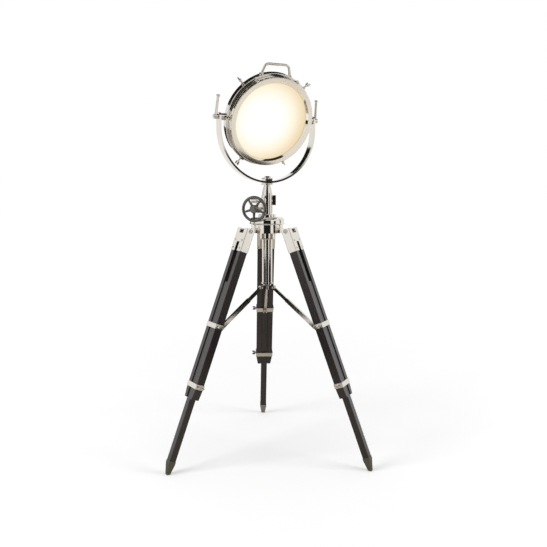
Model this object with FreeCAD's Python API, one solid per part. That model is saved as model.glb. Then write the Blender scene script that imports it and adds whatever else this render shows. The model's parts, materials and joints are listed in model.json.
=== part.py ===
"""Tripod spotlight floor lamp with folding wooden legs, a geared column and a tilting drum head.

Millimetres, +Z up. The lamp is built round its column axis, standing on z = 0, and at the end it is
moved so that the origin is the middle of its footprint box. Three legs stand 120 degrees apart.
"""
import FreeCAD
import Part
import math
import os

V = FreeCAD.Vector
ORIGIN = V(0, 0, 0)
X = V(1, 0, 0)
Y = V(0, 1, 0)
Z = V(0, 0, 1)

# ---- fits -------------------------------------------------------------------------------------
RUNNING_FIT = 0.05        # radial play of a shaft in its bore
SIDE_PLAY = 0.3           # play between parts that turn or slide past each other
SLIDE_PLAY = 0.3          # play of the wooden slider between its rails, each side

EDGE = 1.0                # broken edge of small turned parts
CUT = 1.0                 # how far a tool runs past what it cuts, or a rib into its neighbour
DOME_EDGE = 0.3           # upright part of a domed head, of its height

# ---- legs: along the leg, s is counted down from the hinge ------------------------------------
LEG_ANGLES = {"left": 210.0, "right": 330.0, "back": 90.0}
LEG_SPREAD = 21.2         # leg from the vertical
LEG_REACH = 1043.4        # hinge to floor along the leg
HINGE_RADIUS = 105.5      # hinge from the column axis
FOLD_TRAVEL = 15.0        # degrees that a leg folds inwards

RAIL_WIDTH = 23.0
RAIL_DEPTH = 34.0
RAIL_TOP = 16.0
RAIL_END = 722.0
RAIL_TAPER = 7.0
RAIL_TAPER_LENGTH = 40.0
RAIL_ROUNDING = 1.2
SLIDER_WIDTH = 28.4
SLIDER_DEPTH = 27.0
SLIDER_TOP = 225.0
SLIDER_ROUNDING = 1.0

FOOT_LENGTH = 58.0
FOOT_WALL = 1.2
FOOT_COLLAR = 9.0
FOOT_TIP_WIDTH = 17.0
FOOT_TIP_DEPTH = 13.0
FOOT_TIP_SHIFT = 4.0      # the tip is drawn in from the outer side

CAP_WALL = 2.0
CAP_CHEEK = 3.0           # cap beyond the rails, each side
CAP_LENGTH = 90.0        # cap below the hinge
CAP_ABOVE = 9.0
CAP_SLOT_WIDTH = 20.0
CAP_SLOT_LENGTH = 39.0
CAP_SLOT_FLOOR = 13.0     # floor of the hinge slot below the hinge
CAP_ROUNDING = 2.5
CAP_SCREW_MARGINS = (45.0, 12.0)     # cap screws above the cap's lower end
CAP_SCREW_RADIUS = 1.8
CAP_SCREW_HEAD = 3.6
CAP_SCREW_DEPTH = 9.0
CAP_SCREW_DOME = 2.0

BAND_WALL = 2.5
BAND_HEIGHT = 20.0
BAND_ROUNDING = 2.0
UPPER_BAND = 411.5
LOWER_BAND_MARGIN = 54.8  # lower band above the rails' lower ends
BAND_BOLT_RADIUS = 3.0
BAND_BOLT_HEAD = 7.0
BAND_BOLT_DOME = 4.0

WING_HUB_RADIUS = 6.5
WING_HUB_LENGTH = 10.0
WING_SPAN = 27.0
WING_REACH = 17.0
WING_THICKNESS = 3.6
WING_HUB_TAPER = 0.8

# ---- crown ------------------------------------------------------------------------------------
LUG_WIDTH = 29.4
LUG_RADIUS = 10.0
LUG_GAP = 0.6             # between a lug and each ear of its cap
HINGE_BOLT_RADIUS = 4.0
HINGE_BOLT_HEAD = 7.0
HINGE_BOLT_DOME = 4.5
CROWN_HEIGHT = 66.0
CROWN_NECK_RADIUS = 69.0
CROWN_NECK_HEIGHT = 35.0
CROWN_BEAD_RADIUS = 75.0
CROWN_BEAD_HEIGHT = 6.0
CROWN_SHOULDER_RADIUS = 73.0
CROWN_SHOULDER_DROP = 16.0
CROWN_TOP_RADIUS = 58.0
CROWN_WALL = 7.0
CROWN_ROOF = 10.0
CROWN_RIB = 12.0
CROWN_RING_RADIUS = 36.0
CROWN_RING_HEIGHT = 12.0
CROWN_RING_ROUNDING = 3.0
BOSS_RADIUS = 30.0
BOSS_DROP = 28.0
BOSS_BEAD = 2.0
BOSS_BEAD_HEIGHT = 5.0

# ---- column -----------------------------------------------------------------------------------
SLEEVE_RADIUS = 21.5
SLEEVE_WALL = 2.5
SLEEVE_DROP = 212.4       # sleeve below the crown's bottom
SLEEVE_SHOWING = 8.7      # sleeve above the gear housing
CAP_CONE_HEIGHT = 27.0
CAP_CONE_EDGE = 1.6       # cone's upper edge outside the column
CAP_PLUG_LENGTH = 16.0
COLUMN_RADIUS = 14.0
COLUMN_BORE = 8.0
COLUMN_START = 20.0       # column's lower end above the sleeve's lower end
COLUMN_SHOWING = 7.5      # bare column between the sleeve cap and the column head
BUSH_HEIGHT = 20.0
HEAD_FLANGE_RADIUS = 25.0
HEAD_FLANGE_THICKNESS = 5.5
HEAD_PLUG_LENGTH = 20.0
HEAD_BORE = 6.0
SPIGOT_RADIUS = 10.0
LIFT_TRAVEL = 250.0

# ---- spider hub and struts --------------------------------------------------------------------
HUB_PLUG_LENGTH = 14.0
HUB_FLANGE_RADIUS = 24.0
HUB_FLANGE_THICKNESS = 6.0
HUB_BODY_RADIUS = 16.0
HUB_BODY_HEIGHT = 30.0
HUB_PIN_RADIUS = 30.0     # strut pins from the column axis
HUB_PIN_DROP = 21.6       # strut pins below the sleeve's lower end
HUB_CHEEK = 4.0
HUB_EYE_RADIUS = 9.0
PIN_RADIUS = 2.5
PIN_HEAD_RADIUS = 4.2
PIN_HEAD_HEIGHT = 1.6
BAR_WIDTH = 8.0
BAR_HEIGHT = 14.0
BAR_LENGTH = 170.0
CHANNEL_WALL = 1.5
CHANNEL_PLAY = 0.5
CHANNEL_LENGTH = 168.0
CHANNEL_END_RADIUS = 8.0
CHANNEL_PIN_PLAY = 3.6    # play at the strut's outer pin
BRACKET_STANDOFF = 13.5   # strut's outer pin from the band's inner face
BRACKET_CHEEK = 2.5
BRACKET_HEIGHT = 20.0
BRACKET_EYE_RADIUS = 6.5

# ---- rack, pinion and handwheel ---------------------------------------------------------------
SHAFT_TURN = 157.44       # azimuth from the column towards the pinion
PINION_TEETH = 16
GEAR_MODULE = 1.5
PRESSURE_ANGLE = 20.0
GEAR_BACKLASH = 0.4
ROOT_CLEARANCE = 0.375
PINION_WIDTH = 10.0
RACK_INSET = 2.0          # rack's pitch line below the column's surface
HOUSING_GAP = 4.5         # between the crown's ring and the gear housing
SHAFT_RADIUS = 5.0
SHAFT_TAIL = 18.0
WHEEL_PLANE = 90.0
WHEEL_RADIUS = 54.0
RIM_THICKNESS = 12.0
WHEEL_HUB_RADIUS = 17.0
WHEEL_HUB_LENGTH = 22.0
WHEEL_HUB_CHAMFER = 3.0
WHEEL_NOSE_RADIUS = 9.0
WHEEL_NOSE_LENGTH = 4.0
SPOKES = 5
SPOKE_START = 88.0        # first spoke, degrees from the level line
SPOKE_FOOT = 12.0         # spokes begin inside the hub
SPOKE_ROOT = 6.0
SPOKE_TIP = 3.6

HOUSING_WALL = 2.5        # thin collar of the housing round the sleeve
HOUSING_BELOW = 19.0
HOUSING_ABOVE = 55.0
HOUSING_REACH = 42.0
HOUSING_WIDTH = 26.0
HOUSING_BLOCK_TOP = 18.0
HOUSING_PLAY = 0.7
LOCK_RISE = 31.0          # lock knob above the pinion centre
LOCK_BOSS_RADIUS = 9.0
LOCK_BOSS_REACH = 40.0
LOCK_SCREW_RADIUS = 4.0
KNOB_RADIUS = 10.0
KNOB_START = 44.0
KNOB_LENGTH = 26.0
KNOB_CHAMFER = 2.0
KNOB_GROOVES = 18
KNOB_GROOVE_RADIUS = 0.9
EAR_REACH = 36.0
EAR_THICKNESS = 7.0
EAR_SPLIT = 2.0
EAR_BELOW = 41.0          # ear height below the housing's top
CLAMP_SCREW_RADIUS = 3.0
CLAMP_HEAD_RADIUS = 6.0
CLAMP_HEAD_HEIGHT = 8.0
CLAMP_SIDES = 12
CLAMP_SCREW_DROPS = (11.5, 32.5)

# ---- yoke -------------------------------------------------------------------------------------
HEAD_TURN = 23.9          # yoke and head from facing -Y, towards +X
HEAD_TILT = 22.1          # head below the level
YOKE_GAP = 20.0           # between the drum and each arm
YOKE_THICKNESS = 8.0
YOKE_WIDTH = 36.0
YOKE_STRAIGHT = 43.5
YOKE_BLOCK = 35.0
YOKE_BLOCK_HEIGHT = 18.5
YOKE_BLOCK_ROUNDING = 3.0
YOKE_LIFT = 1.5           # band above the underside of the block
YOKE_ROUNDING = 1.5
SWIVEL_RADIUS = 23.5
SWIVEL_THICKNESS = 4.6
SWIVEL_HEX = 12.0
SWIVEL_HEX_HEIGHT = 7.0

# ---- tilt clamps ------------------------------------------------------------------------------
TRUNNION_RADIUS = 14.5
TRUNNION_SUNK = 4.0       # the boss starts inside the skirt and is trimmed to it
STUD_RADIUS = 6.0
STUD_BEYOND = 18.0        # bore for the stud in the lever hub, beyond the yoke's outer face
CLAMP_HUB_RADIUS = 10.0
CLAMP_HUB_LENGTH = 18.0
CLAMP_NOSE_LENGTH = 4.0
CLAMP_NOSE_RADIUS = 6.5
LEVER_LENGTH = 86.0
LEVER_ROOT_RADIUS = 5.6
LEVER_TIP_RADIUS = 4.6
LEVER_BALL_RADIUS = 7.5
LEVER_BALL_EDGE = 2.6
LEVER_LEANS = {"left": 20.0, "right": 6.0}

# ---- head: d is counted forwards from the tilt axis -------------------------------------------
DRUM_RADIUS = 192.0
DRUM_FRONT = 24.0
DRUM_STEP = -5.0
DRUM_BACK = -20.0
DRUM_WALL = 2.5
DRUM_EDGE = 3.0
SKIRT_INSET = 10.0        # skirt inside the drum's rim
FLANGE_THICKNESS = 3.0
SEAT_WIDTH = 12.0
SEAT_HEIGHT = 9.0
GASKET_THICKNESS = 3.0
LENS_EDGE = 5.0
LENS_BULGE = 9.0
LENS_FLAT = 4.0           # flat edge inside the window
BEZEL_INSET = 9.0         # bezel inside the drum's rim
BEZEL_WIDTH = 24.5        # bezel from its outer wall in to the window
BEZEL_FRONT = 54.0
BEZEL_WALL = 3.0
BEZEL_GAP = 2.0
BEZEL_FACE = 19.0         # flat front face, from the outer edge inwards
BEZEL_LIP = 4.0
BEZEL_LIP_HEIGHT = 4.0
BEZEL_EDGE = 2.5
BEZEL_INNER_BEND = 2.1
BEZEL_OVERHANG = 1.0      # lip inside the window's edge
COVER_WALL = 2.0
COVER_LAP = 8.0
COVER_BEND = 32.0         # a place on the dome: this far inside the skirt
COVER_BEND_DEPTH = 42.0   # and this far behind it
COVER_FLAT_RADIUS = 70.0
COVER_DEPTH = 84.0
VENTS = 12
VENT_RADIUS = 4.0
VENT_CIRCLE = 56.0
REFLECTOR_WALL = 1.0
REFLECTOR_MARGIN = 8.5    # mouth inside the window
REFLECTOR_BEND = 50.0     # a place on the dish: this far inside the mouth
REFLECTOR_BEND_DEPTH = 48.0
REFLECTOR_THROAT = 24.0
REFLECTOR_DEPTH = 76.0
REFLECTOR_FLANGE = 17.0   # flange outside the mouth
HOLDER_PLATE_RADIUS = 28.0
HOLDER_PLATE_THICKNESS = 4.0
HOLDER_STEM_RADIUS = 9.0
HOLDER_STEM_LENGTH = 14.0
HOLDER_RADIUS = 19.5
HOLDER_LENGTH = 40.0
HOLDER_BORE_DEPTH = 30.0
BULB_BASE_RADIUS = 13.2
BULB_NECK = 15.0
BULB_GLOBE_RADIUS = 30.0
BULB_LENGTH = 98.0
BULB_JOIN_ANGLE = 52.0    # where the neck meets the globe, from the bulb's axis
BULB_STEP = 2.0
CLIP_COUNT = 6
CLIP_WIDTH = 13.0
CLIP_OVERHANG = 3.0
CLIP_HEIGHT = 25.0
CLIP_THICKNESS = 3.0
CLIP_SUNK = 2.0           # the plate starts inside the bezel's wall and is trimmed to it
CLIP_SCREW_RADIUS = 3.6
CLIP_SCREW_HEIGHT = 3.0
THUMB_ANGLES = (45.0, 135.0, 240.0, 300.0)
THUMB_BOSS_RADIUS = 7.0
THUMB_BOSS_HEIGHT = 5.0
THUMB_STUD_RADIUS = 3.5
THUMB_RISE = 11.0         # bare stud below the wing nut
HANDLE_D = 9.0
HANDLE_RADIUS = 5.0
HANDLE_FOOT_SPREAD = 64.0
HANDLE_TOP_SPREAD = 51.0
HANDLE_RISE = 31.0        # top of the bar's line above the drum's rim
HANDLE_CORNER = 19.0
HANDLE_PAD_RADIUS = 9.0
HANDLE_PAD_HEIGHT = 4.0
GLAND_DROP = 128.0        # cable gland below the head's axis
GLAND_HEX = 11.0
GLAND_HEX_HEIGHT = 8.0
GLAND_DOME_RADIUS = 9.0
GLAND_DOME_HEIGHT = 9.0
GLAND_BORE = 4.0
GLAND_LIP = 2.0
GLAND_SHANK_RADIUS = 8.0
GLAND_SHANK_LENGTH = 14.0

# ---- worked-out places ------------------------------------------------------------------------
SPREAD = math.radians(LEG_SPREAD)
HINGE_Z = LEG_REACH * math.cos(SPREAD)
LOWER_BAND = RAIL_END - LOWER_BAND_MARGIN
CROWN_Z = HINGE_Z - LUG_RADIUS
CROWN_TOP = CROWN_Z + CROWN_HEIGHT
SLEEVE_BORE = SLEEVE_RADIUS - SLEEVE_WALL
SLEEVE_BOTTOM = CROWN_Z - SLEEVE_DROP
WHEEL_Z = CROWN_TOP + CROWN_RING_HEIGHT + HOUSING_GAP + HOUSING_BELOW
SLEEVE_TOP = WHEEL_Z + HOUSING_ABOVE + SLEEVE_SHOWING
CAP_CONE_TOP_RADIUS = COLUMN_RADIUS + CAP_CONE_EDGE
HUB_PIN_Z = SLEEVE_BOTTOM - HUB_PIN_DROP
COLUMN_BOTTOM = SLEEVE_BOTTOM + COLUMN_START
COLUMN_TOP = SLEEVE_TOP + CAP_CONE_HEIGHT + COLUMN_SHOWING
FLANGE_TOP = COLUMN_TOP + HEAD_FLANGE_THICKNESS
BLOCK_Z = FLANGE_TOP + SIDE_PLAY
BLOCK_TOP = BLOCK_Z + YOKE_BLOCK_HEIGHT
SWIVEL_Z = BLOCK_TOP + SIDE_PLAY
YOKE_BOTTOM = BLOCK_Z + YOKE_LIFT
YOKE_INNER = DRUM_RADIUS + YOKE_GAP
YOKE_RADIUS = YOKE_INNER + YOKE_THICKNESS
ARC_Z = YOKE_BOTTOM + YOKE_RADIUS
PIVOT_Z = ARC_Z + YOKE_STRAIGHT
PITCH_RADIUS = GEAR_MODULE * PINION_TEETH / 2
RACK_PITCH = math.pi * GEAR_MODULE
RACK_LINE = COLUMN_RADIUS - RACK_INSET
PINION_OFFSET = RACK_LINE + PITCH_RADIUS

RAIL_GAP = SLIDER_WIDTH / 2 + SLIDE_PLAY
RAIL_OUTER = RAIL_GAP + RAIL_WIDTH
RAIL_FACE = RAIL_DEPTH / 2
CAP_HALF = RAIL_OUTER + CAP_CHEEK
CAP_FACE = RAIL_FACE + CAP_WALL
EAR_INNER = LUG_WIDTH / 2 + LUG_GAP
BAND_HALF = RAIL_OUTER + BAND_WALL
BAND_FACE = RAIL_FACE + BAND_WALL
STRUT_PIN_X = -BAND_FACE - BRACKET_STANDOFF
CHANNEL_HALF = BAR_WIDTH / 2 + CHANNEL_PLAY + CHANNEL_WALL
CHANNEL_TOP = BAR_HEIGHT / 2 + CHANNEL_PLAY + CHANNEL_WALL

SKIRT_RADIUS = DRUM_RADIUS - SKIRT_INSET
BEZEL_RADIUS = DRUM_RADIUS - BEZEL_INSET
WINDOW_RADIUS = BEZEL_RADIUS - BEZEL_WIDTH
REFLECTOR_MOUTH = WINDOW_RADIUS - REFLECTOR_MARGIN
REFLECTOR_RIM = REFLECTOR_MOUTH + REFLECTOR_FLANGE
HANDLE_TOP = DRUM_RADIUS + HANDLE_RISE
SEAT_FRONT = DRUM_FRONT + SEAT_HEIGHT
LENS_BACK = SEAT_FRONT + GASKET_THICKNESS
LENS_FRONT = LENS_BACK + LENS_EDGE
LENS_RADIUS = WINDOW_RADIUS + SEAT_WIDTH
BEZEL_BACK = DRUM_FRONT + BEZEL_GAP
COVER_START = DRUM_BACK
COVER_END = COVER_START - COVER_DEPTH
HOLDER_BACK = COVER_END + COVER_WALL


# ---- helpers ----------------------------------------------------------------------------------
def block(x0, x1, y0, y1, z0, z1):
    """Box between two corners."""
    return Part.makeBox(x1 - x0, y1 - y0, z1 - z0, V(x0, y0, z0))


def rod(radius, start, end):
    """Cylinder from one point to another."""
    return Part.makeCylinder(radius, (end - start).Length, start, end - start)


def cone(radius_0, radius_1, start, end):
    """Frustum from one point to another."""
    return Part.makeCone(radius_0, radius_1, (end - start).Length, start, end - start)


def face_of(start, steps):
    """Face in the XZ plane. A step is (x, z) for a line, or (xm, zm, x, z) for an arc."""
    edges = []
    here = V(start[0], 0, start[1])
    for step in steps + [start]:
        end = V(step[-2], 0, step[-1])
        if len(step) == 4:
            edges.append(Part.Arc(here, V(step[0], 0, step[1]), end).toShape())
        elif (end - here).Length > 1e-6:
            edges.append(Part.makeLine(here, end))
        here = end
    return Part.Face(Part.Wire(edges))


def turned(start, steps):
    """Solid of revolution about Z."""
    solid = face_of(start, steps).revolve(ORIGIN, Z, 360)
    return solid if solid.Volume > 0 else solid.reversed()


def cap_step(radius, rim, top):
    """Arc step of a spherical cap, from a rim radius and height up to the axis."""
    big = (radius ** 2 + (top - rim) ** 2) / (2 * (top - rim))
    half = math.asin(radius / abs(big)) / 2
    return (abs(big) * math.sin(half), top - big + big * math.cos(half), 0, top)


def cap_step_back(radius, rim, top):
    """The same arc, taken from the axis down to the rim."""
    middle = cap_step(radius, rim, top)
    return (middle[0], middle[1], radius, rim)


def prism(sides, across, z0, z1):
    """Upright regular prism, measured across its flats."""
    corner = across / math.cos(math.pi / sides)
    points = []
    for i in range(sides + 1):
        a = 2 * math.pi * i / sides
        points.append(V(corner * math.cos(a), corner * math.sin(a), z0))
    return Part.Face(Part.makePolygon(points)).extrude(V(0, 0, z1 - z0))


def fused(shapes):
    """One solid from touching solids."""
    return shapes[0].multiFuse(shapes[1:]).removeSplitter() if len(shapes) > 1 else shapes[0]


def less(shape, tools):
    """The shape with the tools cut away."""
    return shape.cut(tools)


def long_edges(shape, axis):
    """Straight edges that run along an axis."""
    found = []
    for edge in shape.Edges:
        if len(edge.Vertexes) == 2:
            run = edge.Vertexes[1].Point - edge.Vertexes[0].Point
            if run.Length > 1e-6 and abs(run.normalize().dot(axis)) > 0.9999:
                found.append(edge)
    return found


def softened(shape, radius, axis):
    """The shape with its edges along an axis rounded."""
    return shape.makeFillet(radius, long_edges(shape, axis))


def spun(shape, angle, axis=Z, centre=ORIGIN):
    """A turned copy."""
    copy = shape.copy()
    copy.rotate(centre, axis, angle)
    return copy


def moved(shape, x, y, z):
    """A shifted copy."""
    copy = shape.copy()
    copy.translate(V(x, y, z))
    return copy


def domed(radius, height, start, direction):
    """Low domed head that stands on a point."""
    edge = height * DOME_EDGE
    bulge = turned((0, 0), [(radius, 0), (radius, edge), cap_step(radius, edge, height)])
    bulge.Placement = FreeCAD.Placement(start, FreeCAD.Rotation(Z, direction))
    return bulge


def wing_nut():
    """Wing nut that stands on the origin and points up."""
    hub = cone(WING_HUB_RADIUS, WING_HUB_RADIUS * WING_HUB_TAPER, ORIGIN, V(0, 0, WING_HUB_LENGTH))
    half = WING_THICKNESS / 2
    wing = face_of((WING_HUB_RADIUS * 0.4, WING_HUB_LENGTH * 0.15),
                   [(WING_SPAN * 0.33, WING_HUB_LENGTH * 0.3),
                    (WING_SPAN * 0.53, WING_REACH * 0.62, WING_SPAN * 0.42, WING_REACH),
                    (WING_SPAN * 0.26, WING_REACH * 0.95, WING_SPAN * 0.16, WING_HUB_LENGTH * 0.92),
                    (WING_HUB_RADIUS * 0.4, WING_HUB_LENGTH * 0.8)])
    wing = moved(wing.extrude(V(0, WING_THICKNESS, 0)), 0, -half, 0)
    return fused([hub, wing, spun(wing, 180)])


# ---- leg parts, in the leg's frame: +X outwards, +Z up along the leg, hinge at the origin -----
def stand_leg(shape, name):
    """Lean a leg part outwards and carry it to its hinge."""
    leaned = spun(shape, -LEG_SPREAD, Y)
    return spun(moved(leaned, HINGE_RADIUS, 0, HINGE_Z), LEG_ANGLES[name])


def cap_screw_places():
    """Screws in the outer face of the cap, over the middle of each rail."""
    middle = RAIL_GAP + RAIL_WIDTH / 2
    return [(side * middle, margin - CAP_LENGTH) for margin in CAP_SCREW_MARGINS for side in (-1, 1)]


def cap_screw_shanks():
    shanks = []
    for y, z in cap_screw_places():
        shanks.append(rod(CAP_SCREW_RADIUS, V(CAP_FACE - CAP_SCREW_DEPTH, y, z), V(CAP_FACE, y, z)))
    return shanks


def leg_cap():
    """Polished cap over the tops of both rails, forked for the crown's lug."""
    body = block(-CAP_FACE, CAP_FACE, -CAP_HALF, CAP_HALF, -CAP_LENGTH, CAP_ABOVE)
    body = softened(body, CAP_ROUNDING, Z)
    sock = block(-RAIL_FACE, RAIL_FACE, -RAIL_OUTER, RAIL_OUTER, -CAP_LENGTH - CUT, -RAIL_TOP)
    fork = block(-CAP_FACE - CUT, CAP_FACE + CUT, -EAR_INNER, EAR_INNER, -CAP_SLOT_FLOOR, CAP_ABOVE + CUT)
    half = CAP_SLOT_WIDTH / 2
    slot = block(0, CAP_FACE + CUT, -half, half, -CAP_LENGTH - CUT, -CAP_LENGTH + CAP_SLOT_LENGTH)
    bore = rod(HINGE_BOLT_RADIUS + RUNNING_FIT, V(0, -CAP_HALF - CUT, 0), V(0, CAP_HALF + CUT, 0))
    return less(body, [sock, fork, slot, bore] + cap_screw_shanks())


def rail(side):
    """One wooden rail: its outer lower edge is drawn in at the end."""
    inner = side * RAIL_GAP
    outer = side * RAIL_OUTER
    points = [V(-RAIL_FACE, inner, -RAIL_END), V(-RAIL_FACE, outer - side * RAIL_TAPER, -RAIL_END),
              V(-RAIL_FACE, outer, -RAIL_END + RAIL_TAPER_LENGTH), V(-RAIL_FACE, outer, -RAIL_TOP),
              V(-RAIL_FACE, inner, -RAIL_TOP)]
    body = Part.Face(Part.makePolygon(points + points[:1])).extrude(V(RAIL_DEPTH, 0, 0))
    return softened(body, RAIL_ROUNDING, Z)


def leg_rails():
    """Both rails, with the holes for the cap screws and the band bolts."""
    rails = []
    holes = cap_screw_shanks() + wing_holes() + bolt_shanks()
    for side in (-1, 1):
        rails += less(rail(side), holes).Solids
    return Part.makeCompound(rails)


def band_blank(middle):
    """Metal band round both rails."""
    low = -middle - BAND_HEIGHT / 2
    high = -middle + BAND_HEIGHT / 2
    outer = softened(block(-BAND_FACE, BAND_FACE, -BAND_HALF, BAND_HALF, low, high), BAND_ROUNDING, Z)
    return less(outer, [block(-RAIL_FACE, RAIL_FACE, -RAIL_OUTER, RAIL_OUTER, low - CUT, high + CUT)])


def strut_bracket():
    """Two cheeks on the upper band's inner face that hold the strut's outer pin."""
    reach = V(STRUT_PIN_X, 0, -UPPER_BAND)
    inner = CHANNEL_HALF + SIDE_PLAY
    cheeks = []
    for side in (-1, 1):
        near = side * inner
        far = side * (inner + BRACKET_CHEEK)
        foot_0 = V(-BAND_FACE, near, -UPPER_BAND - BRACKET_HEIGHT / 2)
        foot_1 = V(-BAND_FACE, near, -UPPER_BAND + BRACKET_HEIGHT / 2)
        tip_0 = V(STRUT_PIN_X, near, -UPPER_BAND - BRACKET_EYE_RADIUS)
        tip_1 = V(STRUT_PIN_X, near, -UPPER_BAND + BRACKET_EYE_RADIUS)
        outline = Part.makePolygon([foot_0, tip_0, tip_1, foot_1, foot_0])
        plate = Part.Face(outline).extrude(V(0, far - near, 0))
        eye = rod(BRACKET_EYE_RADIUS, reach + V(0, near, 0), reach + V(0, far, 0))
        cheeks.append(fused([plate, eye]))
    return cheeks


def strut_pin():
    """Pin through the bracket's cheeks, with a head at each end."""
    half = CHANNEL_HALF + SIDE_PLAY + BRACKET_CHEEK
    middle = V(STRUT_PIN_X, 0, -UPPER_BAND)
    pin = [rod(PIN_RADIUS, middle - Y * half, middle + Y * half)]
    for side in (-1, 1):
        pin.append(domed(PIN_HEAD_RADIUS, PIN_HEAD_HEIGHT, middle + Y * (side * half), Y * side))
    return fused(pin)


def wing_holes():
    """Holes for the two clamp screws, on the left-hand side of the leg."""
    radius = BAND_BOLT_RADIUS + RUNNING_FIT
    return [rod(radius, V(0, RAIL_GAP - CUT, -s), V(0, BAND_HALF + CUT, -s))
            for s in (UPPER_BAND, LOWER_BAND)]


def bolt_shanks():
    """Shanks of the band bolts, on the other side."""
    return [rod(BAND_BOLT_RADIUS, V(0, -BAND_HALF, -s), V(0, -RAIL_GAP - SLIDE_PLAY, -s))
            for s in (UPPER_BAND, LOWER_BAND)]


def leg_bands():
    """Upper band with its strut bracket, and lower band."""
    middle = V(STRUT_PIN_X, 0, -UPPER_BAND)
    pin_hole = rod(PIN_RADIUS, middle - Y * BAND_HALF, middle + Y * BAND_HALF)
    holes = wing_holes() + bolt_shanks()
    upper = less(fused([band_blank(UPPER_BAND)] + strut_bracket()), holes + [pin_hole])
    lower = less(band_blank(LOWER_BAND), holes)
    return Part.makeCompound(upper.Solids + lower.Solids)


def leg_screws():
    """Cap screws, domed band bolts and the strut's outer pin."""
    screws = []
    for shank, (y, z) in zip(cap_screw_shanks(), cap_screw_places()):
        screws.append(fused([shank, domed(CAP_SCREW_HEAD, CAP_SCREW_DOME, V(CAP_FACE, y, z), X)]))
    for shank, s in zip(bolt_shanks(), (UPPER_BAND, LOWER_BAND)):
        head = domed(BAND_BOLT_HEAD, BAND_BOLT_DOME, V(0, -BAND_HALF, -s), -Y)
        screws.append(fused([shank, head]))
    return Part.makeCompound([screw.Solids[0] for screw in screws + [strut_pin()]])


def wing_screw(s):
    """Clamp screw with a wing head, on the left-hand side of the leg."""
    start = V(0, BAND_HALF + SIDE_PLAY, -s)
    head = spun(wing_nut(), -90, X)
    head.translate(start)
    shank = rod(BAND_BOLT_RADIUS, V(0, RAIL_GAP, -s), start)
    return fused([shank, head])


def slider_end():
    """Distance along the leg at which the wood enters the metal foot."""
    return LEG_REACH - FOOT_LENGTH


def leg_slider():
    """Wooden extension that runs between the rails."""
    half = SLIDER_WIDTH / 2
    face = SLIDER_DEPTH / 2
    return softened(block(-face, face, -half, half, -slider_end(), -SLIDER_TOP), SLIDER_ROUNDING, Z)


def leg_foot():
    """Tapered metal foot, cut level with the floor."""
    face = SLIDER_DEPTH / 2 + FOOT_WALL
    half = SLIDER_WIDTH / 2 + FOOT_WALL
    top = -slider_end()
    low = top - FOOT_COLLAR
    collar = softened(block(-face, face, -half, half, low, top), FOOT_WALL, Z)
    tip_0 = -FOOT_TIP_DEPTH / 2 - FOOT_TIP_SHIFT
    tip_1 = FOOT_TIP_DEPTH / 2 - FOOT_TIP_SHIFT
    tip_half = FOOT_TIP_WIDTH / 2
    upper = [V(-face, -half, low), V(face, -half, low), V(face, half, low), V(-face, half, low)]
    lower = [floor_point(tip_0, -tip_half), floor_point(tip_1, -tip_half),
             floor_point(tip_1, tip_half), floor_point(tip_0, tip_half)]
    wires = [Part.makePolygon(upper + upper[:1]), Part.makePolygon(lower + lower[:1])]
    return fused([collar, Part.makeLoft(wires, True, True)])


def floor_point(x, y):
    """Point of the floor below a place on the leg, in the leg's frame."""
    return V(x, y, -LEG_REACH - x * math.tan(SPREAD))


def spun_point(point, angle):
    """A point turned about Y by an angle in degrees."""
    c = math.cos(math.radians(angle))
    s = math.sin(math.radians(angle))
    return V(point.x * c + point.z * s, point.y, point.z * c - point.x * s)


# ---- struts, in the radial plane: +X outwards from the column, placed at the hub pin ----------
def strut_geometry():
    """Length of the strut between its pins, and its angle below the level, at rest."""
    pin = spun_point(V(STRUT_PIN_X, 0, -UPPER_BAND), -LEG_SPREAD) + V(HINGE_RADIUS, 0, HINGE_Z)
    run = pin - V(HUB_PIN_RADIUS, 0, HUB_PIN_Z)
    return run.Length, math.degrees(math.atan2(-run.z, run.x))


def place_strut(shape, name):
    """Turn a strut part down to its angle at the hub pin, then round to its leg."""
    angle = strut_geometry()[1]
    return spun(moved(spun(shape, angle, Y), HUB_PIN_RADIUS, 0, HUB_PIN_Z), LEG_ANGLES[name])


def strut_bar():
    """Inner bar, with the eye for the hub pin."""
    half = BAR_WIDTH / 2
    tall = BAR_HEIGHT / 2
    body = fused([block(0, BAR_LENGTH, -half, half, -tall, tall), rod(tall, V(0, -half, 0), V(0, half, 0))])
    return less(body, [rod(PIN_RADIUS + RUNNING_FIT, V(0, -half - CUT, 0), V(0, half + CUT, 0))])


def strut_channel():
    """Outer channel, open below, that slides over the bar."""
    length = strut_geometry()[0]
    start = length - CHANNEL_LENGTH
    inner = BAR_WIDTH / 2 + CHANNEL_PLAY
    lid = BAR_HEIGHT / 2 + CHANNEL_PLAY
    body = block(start, length, -CHANNEL_HALF, CHANNEL_HALF, -CHANNEL_END_RADIUS, CHANNEL_TOP)
    rounded = rod(CHANNEL_END_RADIUS, V(length, -CHANNEL_HALF, 0), V(length, CHANNEL_HALF, 0))
    groove = block(start - CUT, length + CHANNEL_TOP, -inner, inner, -CHANNEL_TOP - CUT, lid)
    wide = CHANNEL_HALF + CUT
    hole = rod(PIN_RADIUS + CHANNEL_PIN_PLAY, V(length, -wide, 0), V(length, wide, 0))
    return less(fused([body, rounded]), [groove, hole])


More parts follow.
